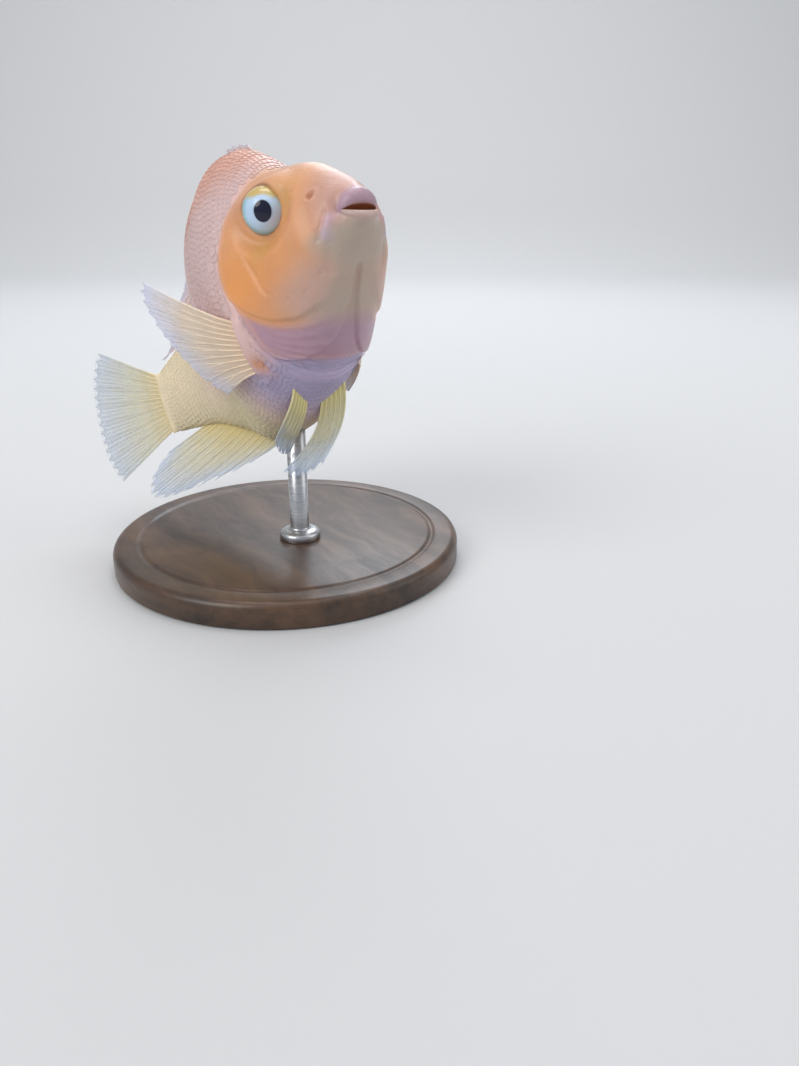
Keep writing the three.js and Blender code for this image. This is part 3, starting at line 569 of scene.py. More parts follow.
def skin_material(name, blotches, fleck_size, flecks, strength):
    material, tree, shader = new_material(
        name, Subsurface_Weight=0.18, Subsurface_Radius=(0.9, 0.35, 0.2), Subsurface_Scale=0.003,
        Coat_Weight=0.18, Coat_Roughness=0.3, IOR=1.4,
    )
    look = put(tree, "ShaderNodeGroup", {
        "Tone": put(tree, "ShaderNodeAttribute", attribute_name="tone")["Color"],
        "Place": put(tree, "ShaderNodeTexCoord")["Object"],
        "Blotches": blotches, "Fleck Size": fleck_size, "Flecks": flecks,
    }, node_tree=moist)
    normal = raised(tree, look["Height"], strength, 0.0004)
    wire(tree, shader, {"Base Color": look["Color"], "Roughness": look["Roughness"], "Normal": normal})
    return material


skin.data.materials.append(skin_material("moist_head_skin", 0.16, 1100.0, 0.06, 0.3))
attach(skin, "root")
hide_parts("head", "torso", "tail_stalk")

# Eyes. Wet balls in their sockets: a navy-black upright oval pupil and a pale blue-white iris with
# a blue-green rim and a yellow top, under a clear glossy cornea that stands out a little.
PUPIL_HALF = (2.35, 2.75)
EYEBALL_RADIUS, CORNEA_FROM, CORNEA_LIFT = 6.3, 0.72, 0.035
EYE_RINGS, EYE_AROUND = 40, 72
EYE_MAP_SPAN, EYE_MAP_STRETCH = 20.0, 1.6
IRIS_STOPS = [
    (0.36, (0.40, 0.55, 0.72)), (0.50, (0.56, 0.72, 0.92)), (0.72, (0.50, 0.70, 0.88)),
    (0.84, (0.32, 0.57, 0.66)), (0.93, (0.26, 0.42, 0.44)), (1.0, (0.40, 0.50, 0.52)),
]
IRIS_STOPS_REACH = 6.6
IRIS_YELLOW, IRIS_STREAK, PUPIL = (0.62, 0.42, 0.08), (0.30, 0.40, 0.48), (0.006, 0.007, 0.03)


def colour_ramp(tree, value, stops):
    made = put(tree, "ShaderNodeValToRGB", {0: value})[0]
    elements = made.node.color_ramp.elements
    while len(elements) < len(stops):
        elements.new(0.5)
    for element, (at, colour) in zip(elements, stops):
        element.position = at
        element.color = (*colour, 1)
    return made


def length_of(tree, a, b):
    squares = [math_of(tree, "POWER", v, 2.0) for v in (a, b)]
    return math_of(tree, "SQRT", math_of(tree, "ADD", *squares))


def eye_material():
    material, tree, shader = new_material(
        "wet_eye", Roughness=0.3, Specular_IOR_Level=0.15, Coat_Weight=0.7, Coat_Roughness=0.03,
        IOR=1.4, Subsurface_Weight=0.05, Subsurface_Scale=0.001,
    )
    flat = put(tree, "ShaderNodeUVMap", uv_map="Iris")[0]
    split = put(tree, "ShaderNodeSeparateXYZ", {0: flat})
    centred = [math_of(tree, "SUBTRACT", split[i], 0.5) for i in (0, 1)]
    across, up = (math_of(tree, "MULTIPLY", v, EYE_MAP_SPAN) for v in centred)
    radius = length_of(tree, across, up)
    oval = length_of(tree, *(math_of(tree, "DIVIDE", v, h) for v, h in zip((across, up), PUPIL_HALF)))
    streaks = noise(tree, flat, 55.0, 3.0, 0.65)[0]
    streaked = math_of(tree, "ADD", radius, math_of(tree, "MULTIPLY", streaks, 0.5))
    iris = colour_ramp(tree, math_of(tree, "DIVIDE", streaked, IRIS_STOPS_REACH), IRIS_STOPS)
    top, outer = ranged(tree, up, 2.5, 3.9), ranged(tree, radius, 3.5, 4.4, 0.0, 0.92)
    iris = blend_colours(tree, math_of(tree, "MULTIPLY", top, outer), iris, IRIS_YELLOW)
    iris = blend_colours(tree, ranged(tree, streaks, 0.4, 0.75, 0.0, 0.22), iris, IRIS_STREAK)
    colour = blend_colours(tree, ranged(tree, oval, 0.94, 1.03, 1.0, 0.0), iris, PUPIL)
    wire(tree, shader, {"Base Color": colour})
    return material


def set_uv(mesh, name, uv):
    layer = mesh.uv_layers.new(name=name)
    corner = np.empty(len(mesh.loops), np.int32)
    mesh.loops.foreach_get("vertex_index", corner)
    layer.data.foreach_set("uv", uv[corner].astype(np.float32).ravel())


wet_eye = eye_material()
for side, eye_name in ((-1, "eye_right"), (1, "eye_left")):
    centre, _, look = eye_frame(side)
    axis = nose_up(-look[0], look[1], look[2])
    upward = unit(np.array([0.0, 0.0, 1.0]) - axis * axis[2])
    sideways = np.cross(upward, axis)
    tilt = np.linspace(0, math.pi, EYE_RINGS + 2)[1:-1]
    spin = np.arange(EYE_AROUND) * 2 * math.pi / EYE_AROUND
    ahead, wide = np.cos(tilt)[:, None, None], np.sin(tilt)[:, None, None]
    around = np.cos(spin)[:, None] * sideways + np.sin(spin)[:, None] * upward
    ball = ahead * (1 + CORNEA_LIFT * smooth(ahead, CORNEA_FROM, 1.0)) * axis + wide * around
    flat = np.concatenate([ball.reshape(-1, 3), [axis * (1 + CORNEA_LIFT), -axis]]) * EYEBALL_RADIUS
    faces = [f[::-1] for f in ring_faces(EYE_RINGS, EYE_AROUND)]
    eye = new_piece(eye_name + "_ball", flat / 1000 + place(*centre), faces)
    uv = np.stack([flat @ sideways, flat @ upward], axis=-1) / EYE_MAP_SPAN
    uv[flat @ axis < 0] *= EYE_MAP_STRETCH
    set_uv(eye.data, "Iris", uv + 0.5)
    eye.data.materials.append(wet_eye)
    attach(eye, "root")
    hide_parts(eye_name)

# Scales. Thin bony plates set in rows like roof tiles, each rooted under the one ahead and open at
# its rounded rear edge. They cover nape, flanks and belly, and get smaller towards tail and breast.
SCALE_LENGTH, SCALE_WIDTH, SCALE_THICK = 3.5, 2.9, 0.05
ROW_STEP, SIDE_STEP, FIRST_ROW = 1.95, 2.0, 27.0
SCALE_TILT = math.radians(2.0)
SCALE_SUNK = 0.06
PLATE_ROWS, PLATE_COLUMNS = 5, 5
MAP_LENGTH, MAP_PATCH, MAP_MARGIN = 130, 0.003, 0.004


def sheet_faces(rows, columns):
    """Faces of a closed thin sheet: its top grid, its lower grid after it, and the rim between."""
    n = rows * columns
    i, j = np.meshgrid(np.arange(rows - 1), np.arange(columns - 1), indexing="ij")
    a = (i * columns + j).ravel()
    b = n + a
    faces = np.stack([a, a + columns, a + columns + 1, a + 1], axis=-1).tolist()
    faces += np.stack([b, b + 1, b + columns + 1, b + columns], axis=-1).tolist()
    rim = [*range(columns), *(k * columns - 1 for k in range(2, rows + 1))]
    rim += [*range(n - 2, n - columns - 1, -1), *(k * columns for k in range(rows - 2, 0, -1))]
    return faces + [(p, q, n + q, n + p) for p, q in zip(rim, rim[1:] + rim[:1])]


def scale_plate():
    """Points of one plate a unit long: its root at the origin, its rounded rear edge towards +X."""
    x, v = np.meshgrid(np.linspace(0, 1, PLATE_ROWS), np.linspace(-1, 1, PLATE_COLUMNS), indexing="ij")
    sides = 0.55 + 0.45 * np.sin(np.minimum(x * 1.9, 1) * math.pi / 2)
    tip = np.sqrt(np.maximum(1 - np.maximum(0, (x - 0.45) / 0.62) ** 2.4, 0.03))
    dome = 0.012 - 0.023 * v * v
    top = np.stack([x * (1 - 0.12 * v * v * x), 0.5 * v * sides * tip, dome], axis=-1).reshape(-1, 3)
    low = top * (0.985, 0.97, 1) - (0, 0, SCALE_THICK / SCALE_LENGTH)
    return np.concatenate([top, low])


def plain_at(back, angle):
    return np.stack([back + 0 * angle, *body_at(back, angle)], axis=-1)


def skin_at(back, angle):
    """A point of the finished skin, before the tail's swing, with its relief."""
    here = plain_at(back, angle)
    along = plain_at(back + 0.15, angle) - plain_at(back - 0.15, angle)
    around = plain_at(back, angle + 0.01) - plain_at(back, angle - 0.01)
    return here + relief(*here.T)[:, None] * unit(np.cross(around, along))


def scale_size(back, z):
    """Scales shrink on nape, breast and tail root."""
    tail_root, nape = 1 - 0.28 * smooth(back, 88, 118), 1 - 0.3 * smooth(-back, -46, -30)
    return tail_root * nape * (1 - 0.3 * smooth(-z, 14, 28) * (1 - smooth(back, 60, 75)))


def scale_roots():
    """Roots in staggered rows: distance back and angle round the body."""
    found = []
    back, row = FIRST_ROW, 0
    fine = np.linspace(0, 2 * math.pi, 1441)
    while back < BODY_LENGTH + 0.5:
        y, z = body_at(back, fine)
        size = scale_size(back, z)
        steps = np.hypot(np.diff(y), np.diff(z)) / (SIDE_STEP * (size[1:] + size[:-1]) / 2)
        length = np.concatenate([[0], np.cumsum(steps)])
        count = max(8, int(round(length[-1])))
        at = (np.arange(count) + (0.5 if row % 2 else 0.0)) * length[-1] / count
        found += [(back, angle) for angle in np.interp(at, length, fine)]
        back += ROW_STEP * float(scale_size(back, np.array(5.0)))
        row += 1
    return np.array(found)


roots = scale_roots()
scatter = np.random.default_rng(11)
roots[:, 0] += scatter.normal(0, 0.04, len(roots))
roots[:, 1] += scatter.normal(0, 0.002, len(roots))
here = skin_at(*roots.T)
b, y, z = here.T
behind_gills = b > gill_edge(z) + 0.15
on_nape = b > np.interp(z, [24, 34], [34, 26])
off_fin_root = from_segment(b, z, PECTORAL_BASE[0], PECTORAL_BASE[2]) > 2.2
off_ridge = ~((np.abs(y) < 0.9) & (z > 0) & (b > 42))
keep = np.where(z > 22, on_nape, behind_gills) & (off_fin_root | (np.abs(y) < 6)) & off_ridge
keep &= b < BODY_LENGTH - 0.6
roots, here = roots[keep], here[keep]
back, angle = roots.T
behind, ahead, above, below = (
    place(*plain_at(back + b, angle + a).T) for b, a in ((0.8, 0), (-0.8, 0), (0, 0.02), (0, -0.02))
)
out = unit(np.cross(above - below, behind - ahead))
along = unit(behind - ahead - ((behind - ahead) * out).sum(-1, keepdims=True) * out)
lean = SCALE_TILT + scatter.normal(0, 0.0015, len(here))[:, None]
axes = [
    along * np.cos(lean) + out * np.sin(lean), np.cross(out, along),
    out * np.cos(lean) - along * np.sin(lean),
]
turns = np.array([Matrix(turn.tolist()).to_quaternion() for turn in np.stack(axes, axis=-1)], np.float32)
sizes = scale_size(here[:, 0], here[:, 2]) * scatter.uniform(0.95, 1.05, len(here))
tones = skin_tone(*here.T) * scatter.uniform(0.96, 1.04, (len(here), 1))
seats = place(*here.T) - out * SCALE_SUNK / 1000
unrolled = np.column_stack([back / MAP_LENGTH, angle / (2 * math.pi), 0 * back])


def named_value(tree, name, kind):
    return put(tree, "GeometryNodeInputNamedAttribute", {"Name": name}, data_type=kind)["Attribute"]


def set_finish(tree, result, geometry, finish):
    finished = put(tree, "GeometryNodeSetMaterial", {"Geometry": geometry, "Material": finish})[0]
    wire(tree, result, {0: finished})


def scale_tree():
    """Sets a plate on every root, turned and sized as the root says, with its patch of the map."""
    tree, given, result = new_group(
        "lay_scales",
        [("Roots", "Geometry"), ("Plate", "Object"), ("Length", "Float"), ("Width", "Float"),
         ("Patch", "Float"), ("Finish", "Material")],
        [("Scales", "Geometry")], "GeometryNodeTree",
    )
    tree.is_modifier = True
    plate = put(tree, "GeometryNodeObjectInfo", {"Object": given["Plate"]})["Geometry"]
    size = named_value(tree, "size", "FLOAT")
    long, wide = (math_of(tree, "MULTIPLY", size, given[label]) for label in ("Length", "Width"))
    shape = put(tree, "ShaderNodeCombineXYZ", {0: long, 1: wide, 2: long})[0]
    laid = put(tree, "GeometryNodeInstanceOnPoints", {
        "Points": given["Roots"], "Instance": plate,
        "Rotation": named_value(tree, "turn", "QUATERNION"), "Scale": shape,
    })[0]
    real = put(tree, "GeometryNodeRealizeInstances", {"Geometry": laid})[0]
    patch = {0: named_value(tree, "patch", "FLOAT_VECTOR"), 3: given["Patch"]}
    spread = put(tree, "ShaderNodeVectorMath", patch, operation="SCALE")[0]
    root = named_value(tree, "root", "FLOAT_VECTOR")
    mapped = put(tree, "ShaderNodeVectorMath", {0: root, 1: spread}, operation="ADD")[0]
    stored = {"Geometry": real, "Name": "OFBake", "Value": mapped}
    coat = put(tree, "GeometryNodeStoreNamedAttribute", stored, data_type="FLOAT2", domain="CORNER")[0]
    set_finish(tree, result, coat, given["Finish"])
    return tree


def grown(name, seeds, tree, values):
    """The tree's result on a mesh of seeds as a plain mesh object, with the seeds removed."""
    holder = linked(seeds.name, seeds)
    modifier = holder.modifiers.new(name, "NODES")
    modifier.node_group = tree
    for item in tree.interface.items_tree:
        if item.item_type == "SOCKET" and item.in_out == "INPUT" and item.name in values:
            modifier[item.identifier] = values[item.name]
    bpy.context.view_layer.update()
    evaluated = holder.evaluated_get(bpy.context.evaluated_depsgraph_get())
    mesh = bpy.data.meshes.new_from_object(evaluated)
    mesh.name = name
    bpy.data.objects.remove(holder)
    return linked(name, mesh)


plate_points = scale_plate()
plate = new_piece("scale_plate", plate_points, sheet_faces(PLATE_ROWS, PLATE_COLUMNS))
keep_values(plate.data, "patch", "FLOAT_VECTOR", plate_points * (1, 1, 0) - (0.5, 0, 0))
laying = scale_tree()
laying_values = {
    "Plate": plate, "Length": SCALE_LENGTH / 1000, "Width": SCALE_WIDTH / 1000, "Patch": MAP_PATCH,
    "Finish": skin_material("scale_horn", 0.05, 1500.0, 0.12, 0.15),
}
for half, chosen in (("right", here[:, 1] < 0), ("left", here[:, 1] >= 0)):
    seeds = bpy.data.meshes.new("scale_roots_" + half)
    seeds.from_pydata(seats[chosen].tolist(), [], [])
    tint_mesh(seeds, tones[chosen])
    keep_values(seeds, "turn", "QUATERNION", turns[chosen])
    keep_values(seeds, "size", "FLOAT", sizes[chosen])
    keep_values(seeds, "root", "FLOAT_VECTOR", np.clip(unrolled[chosen], MAP_MARGIN, 1 - MAP_MARGIN))
    scales = grown("scales_" + half, seeds, laying, laying_values)
    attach(scales, "root")
bpy.data.objects.remove(plate)

# Fins. Each is a thin clear web of skin between bony rays: stiff spines at the front of the long
# fins, and soft rays behind that fork towards the edge. Rays are tubes along the web's middle.
WEB_HALF, WEB_EDGE_HALF, WEB_WAVE = 0.13, 0.04, 0.10
WEB_PER_GAP, WEB_ROWS = 6, 34
RAY_RADIUS, SPINE_RADIUS, RAY_SIDES = 0.36, 0.414, 6
RAY_POINTS, SPINE_POINTS = 9, 14
FORK_SPREAD = (0.22, 0.10, 0.05)
ROOT_SUNK = 2.2


def fin_web(name, ray_at, rays, notch):
    """The web: a closed thin sheet between the rays, notched between spines and softly waved."""
    u = np.linspace(0, 1, (rays - 1) * WEB_PER_GAP + 1)
    reach = np.linspace(0, 1, WEB_ROWS + 1)[:, None]
    spiny_until, spiny_notch, soft_notch = notch
    between = np.sin(u * (rays - 1) * math.pi)
    edge = 1 - np.where(u < spiny_until, spiny_notch, soft_notch) * np.abs(between) ** 0.8
    grid = ray_at(u + 0 * reach, reach * edge)
    out = unit(np.cross(np.gradient(grid, axis=0), np.gradient(grid, axis=1)))
    wave = between * WEB_WAVE * smooth(reach, 0.05, 0.5)
    half = mix(WEB_HALF, WEB_EDGE_HALF, reach ** 1.2)
    sheets = [(grid + out * (wave + side * half)[..., None] / 1000).reshape(-1, 3) for side in (1, -1)]
    web = new_piece(name, np.concatenate(sheets), sheet_faces(*grid.shape[:2]))
    spots = np.stack([u + 0 * reach, reach + 0 * u], axis=-1).reshape(-1, 2)
    set_uv(web.data, "Fin", np.concatenate([spots, spots]))
    return web


def ray_lines(ray_at, rays, spines, forks):
    """Centre lines of the rays as (points, radii, places on the fin)."""
    lines = []
    gap = 1 / (rays - 1)
    for k in range(rays):
        if k < spines:
            reach = np.linspace(0, 1.02, SPINE_POINTS)
            lines.append((k * gap + 0 * reach, reach, SPINE_RADIUS * (1 - 0.78 * reach)))
            continue
        branches, start = [(k * gap, 0.0)], 0.0
        for level, stop in enumerate((*forks, 0.995)):
            reach = np.linspace(start, stop, RAY_POINTS)
            thin = RAY_RADIUS * (1 - 0.55 * reach) * 0.8 ** level
            spread = gap * FORK_SPREAD[level]
            following = []
            for at, drift in branches:
                line = np.clip(at + drift * (reach - start) / (stop - start), 0, 1)
                lines.append((line, reach, thin))
                following += [(line[-1], spread), (line[-1], -spread)]
            branches, start = following, stop
    return [(ray_at(u, r), t, np.column_stack([u, r, 0 * r])) for u, r, t in lines]


def ray_tree():
    """Turns centre lines with a thickness at each point into closed tubes."""
    tree, given, result = new_group(
        "draw_rays", [("Lines", "Geometry"), ("Sides", "Int"), ("Finish", "Material")],
        [("Rays", "Geometry")], "GeometryNodeTree",
    )
    tree.is_modifier = True
    lines = put(tree, "GeometryNodeMeshToCurve", {"Mesh": given["Lines"]})[0]
    round_section = {"Resolution": given["Sides"], "Radius": 1.0}
    tubes = put(tree, "GeometryNodeCurveToMesh", {
        "Curve": lines, "Profile Curve": put(tree, "GeometryNodeCurvePrimitiveCircle", round_section)[0],
        "Scale": named_value(tree, "thick", "FLOAT"), "Fill Caps": True,
    })[0]
    soft = put(tree, "GeometryNodeSetShadeSmooth", {"Geometry": tubes})[0]
    real = put(tree, "GeometryNodeRealizeInstances", {"Geometry": soft})[0]
    set_finish(tree, result, real, given["Finish"])
    return tree


drawing = ray_tree()


def fin_rays(name, lines, finish):
    """The rays of one fin as one piece, each point keeping its place on the fin for the colours."""
    edges, total = [], 0
    for line, _, _ in lines:
        edges += [(total + i, total + i + 1) for i in range(len(line) - 1)]
        total += len(line)
    points, radii, spots = (np.concatenate(values) for values in zip(*lines))
    seeds = bpy.data.meshes.new(name + "_lines")
    seeds.from_pydata(points.tolist(), edges, [])
    keep_values(seeds, "thick", "FLOAT", radii / 1000)
    keep_values(seeds, "spot", "FLOAT_VECTOR", spots)
    return grown(name, seeds, drawing, {"Sides": RAY_SIDES, "Finish": finish})


# Fin colours from root to edge, and how much they cover, shared by every fin's web and rays.
fin_wash, given, wash_out = new_group(
    "fin_colours",
    [("Along", "Float", 0.0), ("Place", "Vector"), ("Root", "Color", (1, 1, 1, 1)),
     ("Middle", "Color", (1, 1, 1, 1)), ("Edge", "Color", (1, 1, 1, 1)),
     ("Root Cover", "Float", 0.9), ("Edge Cover", "Float", 0.5)],
    [("Color", "Color"), ("Cover", "Float"), ("Height", "Float")],
)
mottle = math_of(fin_wash, "SUBTRACT", noise(fin_wash, given["Place"], 260.0, 3.0, 0.6)[0], 0.5)
shift = math_of(fin_wash, "ADD", given["Along"], math_of(fin_wash, "MULTIPLY", mottle, 0.28))
inner = blend_colours(fin_wash, ranged(fin_wash, shift, 0.04, 0.48), given["Root"], given["Middle"])
wire(fin_wash, wash_out, {
    "Color": blend_colours(fin_wash, ranged(fin_wash, shift, 0.52, 0.96), inner, given["Edge"]),
    "Cover": ranged(fin_wash, shift, 0.1, 0.95, given["Root Cover"], given["Edge Cover"]),
    "Height": noise(fin_wash, given["Place"], 1400.0, 2.0, 0.6)[0],
})


def fin_material(name, tones, cover, spots):
    """Skin or bone of a fin, with root, middle and edge tones along the place kept in spots."""
    material, tree, shader = new_material(
        name, Roughness=0.36, Coat_Weight=0.25, Coat_Roughness=0.2, IOR=1.4,
        Subsurface_Weight=0.12, Subsurface_Radius=(0.8, 0.6, 0.4), Subsurface_Scale=0.002,
    )
    if spots == "Fin":
        spot = put(tree, "ShaderNodeUVMap", uv_map=spots)[0]
    else:
        spot = put(tree, "ShaderNodeAttribute", attribute_name=spots)["Vector"]
    root, middle, edge = ((*tone, 1) for tone in tones)
    look = put(tree, "ShaderNodeGroup", {
        "Along": put(tree, "ShaderNodeSeparateXYZ", {0: spot})[1],
        "Place": put(tree, "ShaderNodeTexCoord")["Object"],
        "Root": root, "Middle": middle, "Edge": edge, "Root Cover": cover[0], "Edge Cover": cover[1],
    }, node_tree=fin_wash)
    normal = raised(tree, look["Height"], 0.25, 0.0003)
    wire(tree, shader, {"Base Color": look["Color"], "Alpha": look["Cover"], "Normal": normal})
    return material


def make_fin(node, ray_at, rays, spines, forks, tones, notch=(0, 0.05, 0.05)):
    """Web and rays of one fin. The notch is how far spines lead, its depth there and behind."""
    web = fin_web(node + "_web", ray_at, rays, notch)
    web.data.materials.append(fin_material(node + "_membrane", tones, (0.86, 0.5), "Fin"))
    paler = [tuple(min(1, c * 1.12 + 0.03) for c in tone) for tone in tones]
    bone = fin_material(node + "_bone", paler, (1.0, 0.85), "spot")
    fan = fin_rays(node + "_rays", ray_lines(ray_at, rays, spines, forks), bone)
    for piece in (web, fan):
        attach(piece, "root")
        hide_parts(node)


# Back fin. Fifteen stiff spines and eight soft rays on the ridge of the back, low over the nape
# and longest near the rear end, leaning back.
DORSAL_FROM, DORSAL_TO, DORSAL_RAYS, DORSAL_SPINES, DORSAL_LEAN = 40.0, 109.0, 23, 15, 0.36
DORSAL_LENGTH = [(0, 4), (0.1, 6), (0.45, 9.5), (0.62, 12.5), (0.82, 16), (0.93, 14), (1, 10)]
DORSAL_TONES = [(0.66, 0.40, 0.32), (0.68, 0.52, 0.50), (0.62, 0.60, 0.72)]
dorsal_length = curve_through(DORSAL_LENGTH)


def middle_ray(back, z, angle, length, reach):
    """A ray of an unpaired fin, sunk at its root."""
    run = mix(-ROOT_SUNK, length, reach)
    return place(back + run * np.cos(angle), 0, z + run * np.sin(angle))


def dorsal_ray(u, reach):
    back = mix(DORSAL_FROM, DORSAL_TO, u)
    slope = np.arctan2(back_line(back + 1) - back_line(back - 1), 2)
    return middle_ray(back, back_line(back), slope + DORSAL_LEAN * mix(1.15, 1, u), dorsal_length(u), reach)


dorsal_notch = (DORSAL_SPINES / DORSAL_RAYS, 0.3, 0.06)
make_fin(
    "dorsal_fin", dorsal_ray, DORSAL_RAYS, DORSAL_SPINES, (0.45, 0.75),
    DORSAL_TONES, dorsal_notch,
)

# Anal fin. Five short spines, then nine long soft rays that trail back and a little down from the
# belly's end to below the tail.
ANAL_FROM, ANAL_TO = 79.0, 110.0
ANAL_LENGTH = [(0, 11), (0.15, 22), (0.35, 34), (0.62, 41), (0.85, 32), (1, 17)]
ANAL_DROP = [(0, 0.04), (0.3, 0.18), (0.6, 0.24), (0.85, 0.22), (1, 0.16)]
ANAL_TONES = [(0.76, 0.60, 0.24), (0.74, 0.70, 0.52), (0.66, 0.74, 0.88)]
anal_length, anal_drop = curve_through(ANAL_LENGTH), curve_through(ANAL_DROP)


def anal_ray(u, reach):
    back = mix(ANAL_FROM, ANAL_TO, u)
    return middle_ray(back, belly_line(back), -anal_drop(u), anal_length(u), reach)


make_fin("anal_fin", anal_ray, 14, 5, (0.42, 0.72), ANAL_TONES, (0.4, 0.14, 0.06))

# Tail fin. Sixteen forking rays in a short, nearly straight-edged fan on the end of the spine,
# cupped a little to the left and lifted a little.
CAUDAL_LENGTH, CAUDAL_SUNK, CAUDAL_HALF, CAUDAL_CUP = 33, 1.5, 8.5, 1.2
CAUDAL_SPREAD, CAUDAL_LIFT = 0.54, 0.2
CAUDAL_TONES = [(0.72, 0.56, 0.26), (0.66, 0.64, 0.50), (0.58, 0.64, 0.72)]


def caudal_ray(u, reach):
    across = 2 * u - 1
    length = CAUDAL_LENGTH * (1 - 0.1 * np.abs(across) ** 3 - 0.03 * np.cos(across * 2))
    run = mix(-CAUDAL_SUNK, length, reach)
    angle = CAUDAL_SPREAD * across + CAUDAL_LIFT
    side = CAUDAL_CUP * np.sin(reach * 2.4) * (1 - across * across)
    return place(BODY_LENGTH + run * np.cos(angle), side, CAUDAL_HALF * across + run * np.sin(angle))


make_fin("caudal_fin", caudal_ray, 16, 0, (0.3, 0.62), CAUDAL_TONES)

# Breast fins. A pair of twelve-rayed paddles on fleshy roots behind the gill covers, the right one
# spread and the left one folded to the flank. Tip runs are (back, out, up) at front, middle, rear.
PECTORAL_SPREAD = [(20, 16.5, 29), (24.5, 10.5, 16), (17.5, 3.4, 0)]
PECTORAL_FOLDED = [(31, 2.4, 9), (29, 1.6, 1), (18, 1.2, -5)]
PECTORAL_TONES = [(0.82, 0.58, 0.40), (0.84, 0.70, 0.54), (0.72, 0.74, 0.90)]
PECTORAL_BOW, PECTORAL_OFF_FLANK = 1.6, 1.9


def three_way(values, u):
    """Values at the front, middle and rear of a fin, joined by one parabola."""
    weights = (1 - u) * (1 - 2 * u), 4 * u * (1 - u), u * (2 * u - 1)
    return [sum(weight * v for weight, v in zip(weights, row)) for row in zip(*values)]


def pectoral_ray(side, runs):
    def ray_at(u, reach):
        back, z = three_way(PECTORAL_BASE, u)
        run, outward, up = three_way(runs, u)
        share = mix(-0.06, 1 - 0.16 * (2 * u - 1) ** 4, reach)
        bow = PECTORAL_BOW * np.sin(math.pi * np.clip(share, 0, 1))
        lifted = PECTORAL_OFF_FLANK * (np.clip(share * 6, -0.6, 1) - 0.4)
        y = flank(back, z) + lifted + share * outward + bow
        return place(back + share * run, side * y, z + share * up)

    return ray_at


for half, side, runs in (("right", -1, PECTORAL_SPREAD), ("left", 1, PECTORAL_FOLDED)):
    ray_at = pectoral_ray(side, runs)
    make_fin("pectoral_fin_" + half, ray_at, 12, 1, (0.34, 0.66), PECTORAL_TONES)

# Belly fins. A pair under the breast, each of one spine and five soft rays, hanging back and down.
# Both ends of a base are (back, out), and the tip runs of its first and last ray (back, out, up).
PELVIC_RIGHT = ([(48.5, 8), (53, 3)], [(20, 1.4, -9), (20, 0.2, -9)], 0.6, 2.2)
PELVIC_LEFT = ([(49, 9), (54, 2.6)], [(19, -5.5, -19), (20, -9.5, -14)], 3.0, 1.0)
PELVIC_TONES = [(0.74, 0.62, 0.22), (0.74, 0.70, 0.46), (0.62, 0.72, 0.86)]


def pelvic_ray(side, base, runs, bow, drop):
    def ray_at(u, reach):
        back, outward = (mix(first, last, u) for first, last in zip(*base))
        share = mix(-0.1, 1 + 0.1 * np.sin(math.pi * u), reach)
        inside = np.clip(share, 0, 1)
        level = widest_level(back)
        low = level + (belly_line(back) - level) * np.sqrt(1 - (outward / half_width(back)) ** 2)
        run, out, up = (mix(first, last, u) for first, last in zip(*runs))
        y = outward + share * out + bow * np.sin(math.pi * inside)
        z = low + 0.6 + share * up - drop * np.sin(math.pi * inside ** 0.6)
        return place(back + share * run, side * y, z)

    return ray_at


for half, side, shape in (("right", -1, PELVIC_RIGHT), ("left", 1, PELVIC_LEFT)):
    ray_at = pelvic_ray(side, *shape)
    make_fin("pelvic_fin_" + half, ray_at, 6, 1, (0.3, 0.6), PELVIC_TONES)

# Stand base. A turned disc of dark stained hardwood with a rounded rim and a shallow cove cut into
# its top. Lengths of the stand are in metres.
BASE_RADIUS, BASE_THICK, BASE_ROUNDING, LATHE_SIDES = 0.056, 0.008, 0.0025, 160
COVE_FROM, COVE_WIDTH, COVE_DEPTH, BASE_CORE = 0.049, 0.003, 0.0005, 0.02
WOOD_DARK, WOOD_LIGHT = (0.030, 0.016, 0.009), (0.125, 0.062, 0.030)


def lathe(name, profile, centre, sides):
    """A closed turned piece round an upright axis."""
    spin = np.arange(sides) * 2 * math.pi / sides
    rings = [
        np.column_stack([centre[0] + r * np.cos(spin), centre[1] + r * np.sin(spin), h + 0 * spin])
        for r, h in profile
    ]
    caps = [[*centre, profile[0][1]], [*centre, profile[-1][1]]]
    return new_piece(name, np.concatenate([*rings, caps]), ring_faces(len(profile), sides))


rounding = [
    (BASE_RADIUS - BASE_ROUNDING * (1 - math.cos(a)), BASE_THICK - BASE_ROUNDING * (1 - math.sin(a)))
    for a in np.linspace(0, math.pi / 2, 12)
]
cove = [
    (COVE_FROM - COVE_WIDTH * u, BASE_THICK - COVE_DEPTH * math.sin(math.pi * u) ** 2)
    for u in np.linspace(0, 1, 9)
]
base_profile = [
    (BASE_CORE, 0), (BASE_RADIUS - 0.0006, 0), (BASE_RADIUS - 0.0001, 0.0004), (BASE_RADIUS, 0.0008),
    *rounding, *cove, (BASE_CORE, BASE_THICK),
]
base = lathe("stand_base_turned", base_profile, (0, 0), LATHE_SIDES)
wood, tree, shader = new_material("stained_hardwood", Coat_Weight=0.25, Coat_Roughness=0.25)
where = put(tree, "ShaderNodeTexCoord")["Object"]
stretched = put(tree, "ShaderNodeMapping", {"Vector": where, "Scale": (6.0, 90.0, 90.0)})[0]
warp = {0: noise(tree, where, 22.0, 3.0)["Color"], 3: 2.2}
warped = put(tree, "ShaderNodeVectorMath", warp, operation="SCALE")[0]
bent = put(tree, "ShaderNodeVectorMath", {0: stretched, 1: warped}, operation="ADD")[0]
grain = noise(tree, bent, 1.0, 6.0, 0.65)[0]
